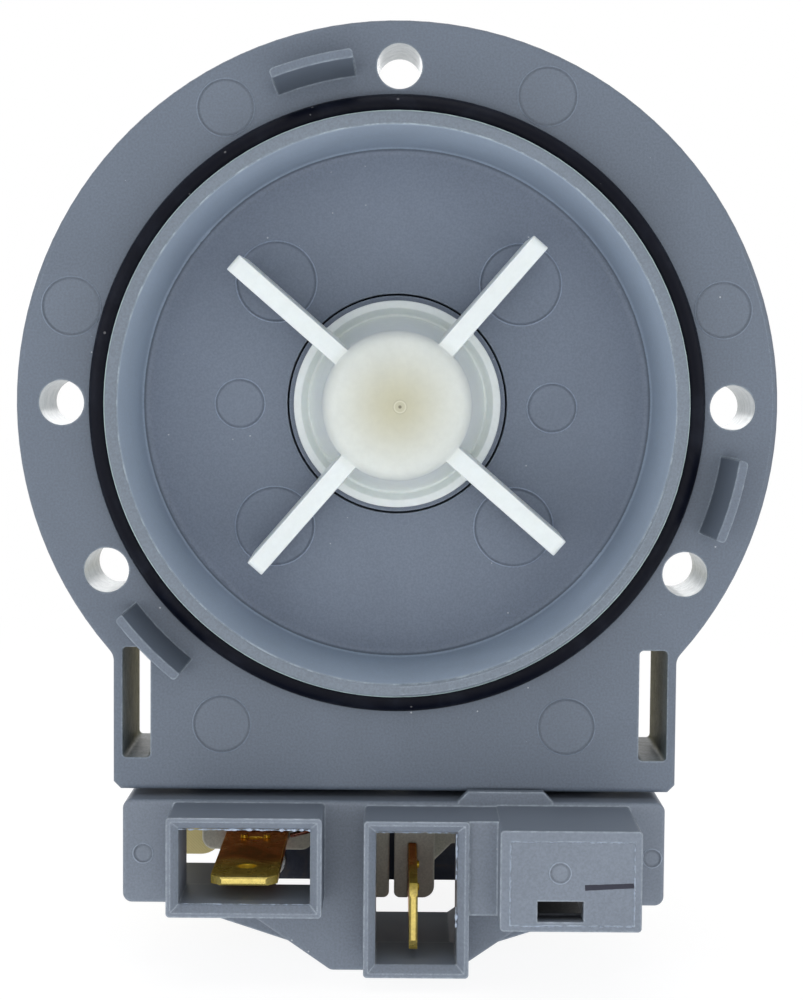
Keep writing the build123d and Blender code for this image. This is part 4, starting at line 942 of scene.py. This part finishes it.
class PUMP_OT_stage(bpy.types.Operator):
    """Sets the camera, the pale floor, the white surroundings and the soft lamps"""
    bl_idname = "pump.stage"
    bl_label = "Stage"

    sensor, lens, clip = 36, 75.6, (0.01, 10)
    turns = (("Z", -0.45), ("Y", 0.1), ("X", 3.5))
    camera_shift = (0.00042, -0.00905, 0.2003)
    surroundings, surroundings_colour = 0.4, (0.95, 0.97, 1.0, 1)
    bounce = 0.5
    white = (1, 1, 1, 1)
    floor_half, floor_gap = 2.5, 0.0001
    fade_from, fade_to, fade_least = 0.06, 0.3, 0.8
    plain = (1.0, 1.0, 1.0)
    lamps = (
        ("front_lamp", (0.0, -0.5, 0.14), (0.3, 0.3), 0.26, (1.0, 0.995, 0.98)),
        ("left_lamp", (-0.42, -0.26, 0.04), (0.4, 0.4), 0.5, plain),
        ("right_lamp", (0.42, -0.2, 0.04), (0.4, 0.4), 0.35, plain),
        ("top_lamp", (0.0, -0.15, 0.5), (0.4, 0.4), 0.5, plain),
        ("low_lamp", (0.0, -0.17, -0.045), (0.3, 0.05), 0.075, plain),
        ("back_lamp", (-0.1, 0.6, 0.3), (0.5, 0.5), 1.1, plain),
    )

    def seen(self, t):
        """One for what is seen directly, through glass or in a mirror."""
        path = t.node("ShaderNodeLightPath")
        straight = path["Is Camera Ray"] + path["Is Transmission Ray"]
        return t.maths("ADD", straight, path["Is Glossy Ray"], clamp=True)

    def place_camera(self, scene):
        """Sets the camera at the photograph's viewing angle."""
        camera = new_object("camera", bpy.data.cameras.new("camera"))
        camera.data.sensor_width, camera.data.lens = self.sensor, self.lens
        camera.data.clip_start, camera.data.clip_end = self.clip
        turn = Matrix.Identity(4)
        for axis, angle in self.turns:
            turn = turn @ Matrix.Rotation(radians(angle), 4, axis)
        upright_view = Matrix.Rotation(radians(90), 4, "X")
        camera.matrix_world = upright_view @ turn.inverted() @ Matrix.Translation(self.camera_shift)
        scene.camera = camera
        scene.view_settings.view_transform = "Standard"

    def light_surroundings(self, scene):
        """Makes the world soft on the pump and white to the eye."""
        scene.world = bpy.data.worlds.new("surroundings")
        scene.world.use_nodes = True
        t = Tree(scene.world.node_tree)
        t.tree.nodes.clear()
        soft = t.node("ShaderNodeBackground", [self.surroundings_colour, self.surroundings])
        white = t.node("ShaderNodeBackground", [self.white, 1.0])
        t.node("ShaderNodeOutputWorld", [t.node("ShaderNodeMixShader", [self.seen(t), soft, white])])

    def lay_floor(self, scene):
        """Lays the floor, which fades to white away from the pump and keeps its shadow."""
        work = bmesh.new()
        bmesh.ops.create_grid(work, x_segments=2, y_segments=2, size=self.floor_half)
        bmesh.ops.translate(work, verts=work.verts, vec=(0, 0, cad_box[0].z - self.floor_gap))
        t = Finish("floor", Roughness=0.9, Specular_IOR_Level=0.1)
        t.show(linear(scene.pump_colours.floor), None)
        white = t.node("ShaderNodeEmission", [self.white, 1.0])
        away = t.vector("LENGTH", t.here())["Value"]
        lifted = self.seen(t) * t.ramp(away, self.fade_from, self.fade_to, self.fade_least, 1.0)
        glow = t.node("ShaderNodeEmission", [self.white, self.bounce])
        lit = t.node("ShaderNodeAddShader", [Wire(t, t.surface.outputs[0]), glow])
        t.put(t.node("ShaderNodeMixShader", [lifted, lit, white]), t.output.inputs[0])
        new_piece("floor", new_mesh("floor", work), "floor")

    def hang_lamp(self, name, at, size, power, colour):
        """Hangs one soft lamp that looks at the pump."""
        data = bpy.data.lights.new(name, "AREA")
        data.shape = "RECTANGLE"
        data.size, data.size_y = size
        data.energy, data.color = power, colour
        lamp = new_object(name, data)
        lamp.visible_camera = False
        lamp.location = at
        lamp.rotation_euler = Vector(at).to_track_quat("Z", "Y").to_euler()

    def execute(self, context):
        self.place_camera(context.scene)
        self.light_surroundings(context.scene)
        self.lay_floor(context.scene)
        for lamp in self.lamps:
            self.hang_lamp(*lamp)
        return finished


class PUMP_OT_finishes(bpy.types.Operator):
    """Builds the finishes and puts them on every solid"""
    bl_idname = "pump.finishes"
    bl_label = "Finishes"

    def execute(self, context):
        make_finishes(context.scene.pump_colours)
        return finished


class PUMP_OT_ejector_marks(bpy.types.Operator):
    """Adds the round ejector marks to the flange, the cup floor and the cover"""
    bl_idname = "pump.ejector_marks"
    bl_label = "Ejector marks"

    # Each mark's x, y and radius, in groups that lie at one height
    flange_marks = ((-16.42, 27.99, 2.72), (14.03, 29.28, 2.82), (-31.06, 9.15, 2.82), (30.98, 9.26, 2.72),
                    (-16.64, -30.78, 2.78), (16.53, -30.82, 2.75))
    floor_marks = ((-15.58, -0.09, 2.46), (15.36, -0.3, 2.46), (-12.02, 11.97, 4.0), (12.12, 11.86, 4.05),
                   (-12.06, -12.24, 3.95), (11.67, -12.19, 3.95))
    cover_marks = ((-24.03, -43.1, 0.95), (24.81, -43.25, 0.9))
    block_marks = ((15.15, -42.1, 0.97),)
    pieces = (("flange_marks", "mark", "housing_grey", ((flange_marks, 0.0),)),
              ("floor_marks", "floor", "housing_grey", ((floor_marks, -8.0),)),
              ("cover_marks", "cover", "cover_grey", ((cover_marks, 1.5), (block_marks, 12.5))))

    def execute(self, context):
        sizes = context.scene.pump_sizes
        tree = mark_tree()
        for name, kind, node_slot, groups in self.pieces:
            points = [(place(x, y, z), radius) for marks, z in groups for x, y, radius in marks]
            mesh = bpy.data.meshes.new(name)
            mesh.from_pydata([point for point, _ in points], [], [])
            radii = mesh.attributes.new("mark_radius", "FLOAT", "POINT")
            radii.data.foreach_set("value", [radius * mm for _, radius in points])
            piece = tree_piece(name, mesh, tree, {
                "Bead": sizes.mark_bead, "Step": sizes.mark_step,
                "Line finish": finishes[kind + "_bead_fine"], "Disc finish": finishes[kind + "_disc_fine"]})
            smooth(piece.data)
            settle(piece, "casing", node_slot)
        return finished


class PUMP_OT_seal(bpy.types.Operator):
    """Makes the round seal ring on the collar"""
    bl_idname = "pump.seal"
    bl_label = "Seal ring"

    def execute(self, context):
        low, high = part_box("o_ring")
        cord = (high.y - low.y) / 2
        piece = tree_piece("seal_ring", bpy.data.meshes.new("seal_ring"), ring_tree(), {
            "Ring radius": high.x - cord, "Cord radius": cord,
            "Mould line": context.scene.pump_sizes.parting_line, "Height": -(low.y + high.y) / 2,
            "Finish": finishes["seal_rubber_fine"]})
        smooth(piece.data, radians(60))
        settle(piece, "casing", "seal_rubber", "o_ring")
        return finished


class PUMP_OT_flash(bpy.types.Operator):
    """Adds the ragged mould flash to the mouths of the sockets and the edges of the closed block"""
    bl_idname = "pump.flash"
    bl_label = "Mould flash"

    mouth_edges = (
        ((-20.0, -39.35, 7.85), (-7.75, -39.35, 7.85)), ((5.85, -39.6, 7.85), (5.85, -43.9, 7.85)),
        ((5.85, -46.5, 7.85), (5.85, -48.4, 7.85)))
    face_edges = (
        ((-20.0, -46.35, 7.85), (-7.75, -46.35, 7.85)), ((-1.6, -39.5, 7.85), (5.9, -39.5, 7.85)),
        ((10.64, -39.26, 12.5), (21.89, -39.26, 12.5)), ((21.89, -39.26, 12.5), (21.89, -46.99, 12.5)),
        ((10.64, -46.99, 12.5), (21.89, -46.99, 12.5)), ((10.64, -39.26, 12.5), (10.64, -46.99, 12.5)))
    # Each piece's edges, its share of the bead's thickness, its wander and its seed
    pieces = (("mouth_flash", mouth_edges, 1.0, 0.00022, 3.0), ("face_flash", face_edges, 0.5, 0.00006, 8.0))

    def execute(self, context):
        bead = context.scene.pump_sizes.flash_bead
        tree = flash_tree()
        for name, paths, bead_share, wander, seed in self.pieces:
            verts = [place(*point) for path in paths for point in path]
            mesh = bpy.data.meshes.new(name)
            mesh.from_pydata(verts, [(i, i + 1) for i in range(0, len(verts), 2)], [])
            piece = tree_piece(name, mesh, tree, {
                "Bead": bead * bead_share, "Wander": wander, "Seed": seed, "Finish": finishes["flash_fine"]})
            smooth(piece.data, radians(60))
            settle(piece, "casing", "cover_grey")
        return finished


class PUMP_OT_impeller(bpy.types.Operator):
    """Makes the impeller with soft edges and the gate mark on its dome"""
    bl_idname = "pump.impeller"
    bl_label = "Impeller"

    # The gate mark's radii and how far each lies below the dome's top
    gate_profile = ((0.0, 0.0), (0.16, 0.01), (0.24, 0.12), (0.42, 0.12), (0.5, 0.02), (0.6, 0.02),
                    (0.68, 0.2), (0.0, 0.3))

    def execute(self, context):
        softened("impeller_moulding", "impeller", "impeller_body", "impeller_white",
                 context.scene.pump_sizes.impeller_edge)
        top = -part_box("impeller")[0].y / mm
        profile = [(radius, top - depth) for radius, depth in self.gate_profile]
        gate = new_piece("gate_mark", turned_profile(profile, 40), "impeller_white_fine")
        smooth(gate.data)
        settle(gate, "impeller_body", "impeller_white")
        return finished


class PUMP_OT_terminals(bpy.types.Operator):
    """Makes the two push-on terminals with stamped edges"""
    bl_idname = "pump.terminals"
    bl_label = "Terminals"

    def execute(self, context):
        for side in ("left", "middle"):
            softened(side + "_blade", side + "_terminal", "casing", "terminal_brass",
                     context.scene.pump_sizes.metal_edge)
        return finished


class PUMP_OT_core(bpy.types.Operator):
    """Makes the stator core as a stack of separate steel sheets"""
    bl_idname = "pump.core"
    bl_label = "Stator core"

    front_reach = mm / 20

    def execute(self, context):
        sizes = context.scene.pump_sizes
        work = bmesh.new()
        work.from_mesh(whole_copy("stator_core"))
        low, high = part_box("stator_core")
        face = [f for f in work.faces
                if f.normal.y < -0.99 and abs(f.calc_center_median().y - low.y) < self.front_reach]
        bmesh.ops.delete(work, geom=[f for f in work.faces if f not in set(face)], context="FACES")
        if not work.faces:
            raise RuntimeError("the stator core has no front face to copy")
        sheet = sizes.sheet_pitch - sizes.sheet_gap
        made = bmesh.ops.extrude_face_region(work, geom=list(work.faces), use_keep_orig=True)
        moved = [g for g in made["geom"] if isinstance(g, bmesh.types.BMVert)]
        bmesh.ops.translate(work, verts=moved, vec=(0, sheet, 0))
        bmesh.ops.recalc_face_normals(work, faces=work.faces)
        count = round((high.y - low.y) / sizes.sheet_pitch)
        pitch = (high.y - low.y - sheet) / (count - 1)
        piece = tree_piece("core_sheets", new_mesh("stator_core_copy", work), sheet_tree(), {
            "Sheets": count, "Pitch": pitch, "Finish": finishes["lamination_fine"]})
        smooth(piece.data)
        settle(piece, "casing", "lamination", "stator_core")
        return finished


class PUMP_OT_bobbins(bpy.types.Operator):
    """Makes the two bobbins with soft edges"""
    bl_idname = "pump.bobbins"
    bl_label = "Bobbins"

    def execute(self, context):
        for side in ("left", "right"):
            softened(side + "_bobbin_moulding", side + "_bobbin", "casing", "bobbin_grey",
                     context.scene.pump_sizes.moulding_edge)
        return finished


class PUMP_OT_windings(bpy.types.Operator):
    """Winds the two coils turn by turn"""
    bl_idname = "pump.windings"
    bl_label = "Windings"

    def execute(self, context):
        pitch = context.scene.pump_sizes.wire_pitch
        tree = winding_tree()
        for side in ("left", "right"):
            low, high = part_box(side + "_winding")
            size = high - low
            piece = tree_piece(side + "_coil_wire", bpy.data.meshes.new(side + "_coil_wire"), tree, {
                "Half width": size.x / 2 - pitch / 2, "Half height": size.z / 2 - pitch / 2,
                "Length": size.y - pitch, "Turns": round((size.y - pitch) / pitch),
                "Wire radius": pitch / 2, "Finish": finishes["enamelled_copper_fine"]})
            middle = (low + high) / 2
            piece.data.transform(Matrix.Translation((middle.x, low.y + pitch / 2, middle.z)))
            smooth(piece.data, radians(70))
            settle(piece, "casing", "enamelled_copper", side + "_winding")
        return finished


class PUMP_OT_tapes(bpy.types.Operator):
    """Wraps the coils in cloth tape whose end laps over its start"""
    bl_idname = "pump.tapes"
    bl_label = "Coil tapes"

    # In millimetres, but for the counts of points across the tape and along its lap
    margin, corner, layer_rise, inset, end_gap = 0.3, 1.7, 0.1, 0.06, 0.25
    crumple, edge_wave = 0.02, 0.12
    across, start_point, lap_points = 16, 3, 9

    def wrapped(self, low, high, sign):
        """The tape's middle face, wound round the coil's box."""
        size, middle = (high - low) / mm, (low + high) / 2 / mm
        path = rounded_box(size.x - self.margin, size.z - self.margin, self.corner)
        path = path[self.start_point:] + path[:self.start_point]
        work = bmesh.new()
        rows = []
        for i, (x, z) in enumerate(path + path[:self.lap_points]):
            out = self.layer_rise * min(1, i / len(path))
            row = []
            for j in range(self.across + 1):
                share = j / self.across
                crumple = self.crumple * sin(9.1 * i + 5.3 * share * self.across) * sin(pi * share)
                edge = self.edge_wave * sin(1.7 * i) * (1 if j in (0, self.across) else 0)
                grow = 1 + (out + crumple - self.inset) / hypot(x, z)
                y = low.y / mm + self.end_gap + share * (size.y - 2 * self.end_gap) + edge
                row.append(work.verts.new((mm * (middle.x + sign * x * grow), mm * y,
                                           mm * (middle.z + z * grow))))
            rows.append(row)
        for first, second in zip(rows, rows[1:]):
            for j in range(self.across):
                work.faces.new((first[j], second[j], second[j + 1], first[j + 1]))
        bmesh.ops.recalc_face_normals(work, faces=work.faces)
        return work

    def execute(self, context):
        for side, sign in (("left", -1), ("right", 1)):
            work = self.wrapped(*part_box(side + "_tape_wrap"), sign)
            piece = new_piece(side + "_coil_tape", new_mesh(side + "_tape", work), "cream_tape_fine")
            wall = piece.modifiers.new("thickness", "SOLIDIFY")
            wall.thickness = context.scene.pump_sizes.tape_thickness
            wall.offset = 0
            evaluated(piece)
            smooth(piece.data, radians(50))
            settle(piece, "casing", "cream_tape", side + "_tape_wrap")
        return finished


class PUMP_OT_small_parts(bpy.types.Operator):
    """Softens the edges of the screws, washers, rivets, cut-out and drive pieces"""
    bl_idname = "pump.small_parts"
    bl_label = "Small parts"

    # Each piece's body, node and slot, and the width of its soft edges in millimetres
    pieces = (
        ("casing", "stator_screws", "steel", 0.05), ("casing", "screw_washers", "steel", 0.04),
        ("casing", "core_rivets", "steel", 0.06), ("casing", "thermal_cutout", "cutout_case", 0.2),
        ("casing", "cutout_sleeve", "cream_tape", 0.08), ("casing", "rear_bearing_holder", "seal_rubber", 0.1),
        ("casing", "front_bearing_holder", "housing_grey", 0.08), ("rotor", "drive_dog", "dog_plastic", 0.08),
        ("rotor", "magnet_hub", "dog_plastic", 0.1), ("rotor", "rotor_magnet", "ferrite", 0.1),
        ("impeller_body", "hub_cap", "impeller_white", 0.08),
    )

    def execute(self, context):
        for body, node, slot, width in self.pieces:
            softened(node + "_fine", node, body, slot, width * mm)
        return finished


class PUMP_OT_link_wire(bpy.types.Operator):
    """Lays the thin wire that joins the two coils"""
    bl_idname = "pump.link_wire"
    bl_label = "Link wire"

    columns, near_share, girth_share = 9, 1.2, 0.98

    def execute(self, context):
        low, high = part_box("link_wire")
        radius = (high.y - low.y) / 2
        source = sorted((v.co.x, v.co.z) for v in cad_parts["link_wire"].data.vertices)
        points = []
        for i in range(self.columns):
            x = low.x + radius + (high.x - low.x - 2 * radius) * i / (self.columns - 1)
            near = [z for vx, z in source if abs(vx - x) < radius * self.near_share]
            if near:
                points.append((x, (low.y + high.y) / 2, (min(near) + max(near)) / 2))
        if len(points) < 3:
            raise RuntimeError("the link wire's solid has too few points to follow")
        curve = bpy.data.curves.new("link_wire_run", "CURVE")
        curve.dimensions = "3D"
        spline = curve.splines.new("NURBS")
        spline.points.add(len(points) - 1)
        for point, co in zip(spline.points, points):
            point.co = (*co, 1)
        spline.order_u = 3
        spline.use_endpoint_u = True
        curve.bevel_depth = radius * self.girth_share
        curve.bevel_resolution = 3
        curve.use_fill_caps = True
        run = new_object("link_wire_run", curve)
        mesh = bpy.data.meshes.new_from_object(run.evaluated_get(context.evaluated_depsgraph_get()))
        bpy.data.objects.remove(run)
        piece = new_piece("link_wire_fine", mesh, "enamelled_copper_fine")
        smooth(piece.data, radians(60))
        settle(piece, "casing", "enamelled_copper", "link_wire")
        return finished


class PUMP_PT_panel(bpy.types.Panel):
    """Lists the pump's pieces in the sidebar"""
    bl_idname = "PUMP_PT_panel"
    bl_label = "Drain pump"
    bl_space_type = "VIEW_3D"
    bl_region_type = "UI"
    bl_category = "Drain pump"

    def draw(self, context):
        for operator in steps:
            self.layout.operator(operator.bl_idname)
        for settings in (context.scene.pump_sizes, context.scene.pump_colours):
            column = self.layout.column()
            for key in settings.__annotations__:
                column.prop(settings, key)


steps = (PUMP_OT_stage, PUMP_OT_finishes, PUMP_OT_ejector_marks, PUMP_OT_seal, PUMP_OT_flash,
         PUMP_OT_impeller, PUMP_OT_terminals, PUMP_OT_core, PUMP_OT_bobbins, PUMP_OT_windings,
         PUMP_OT_tapes, PUMP_OT_small_parts, PUMP_OT_link_wire)
classes = (PumpSizes, PumpColours, *steps, PUMP_PT_panel)


def register():
    """Makes the classes and the scene's settings known."""
    for item in classes:
        bpy.utils.register_class(item)
    bpy.types.Scene.pump_sizes = bpy.props.PointerProperty(type=PumpSizes)
    bpy.types.Scene.pump_colours = bpy.props.PointerProperty(type=PumpColours)


def unregister():
    """Forgets the settings and the classes."""
    del bpy.types.Scene.pump_sizes
    del bpy.types.Scene.pump_colours
    for item in reversed(classes):
        bpy.utils.unregister_class(item)


def main():
    """Registers the classes and runs every step, which builds the whole scene."""
    register()
    for operator in steps:
        family, action = operator.bl_idname.split(".")
        getattr(getattr(bpy.ops, family), action)()


if __name__ == "__main__":
    main()
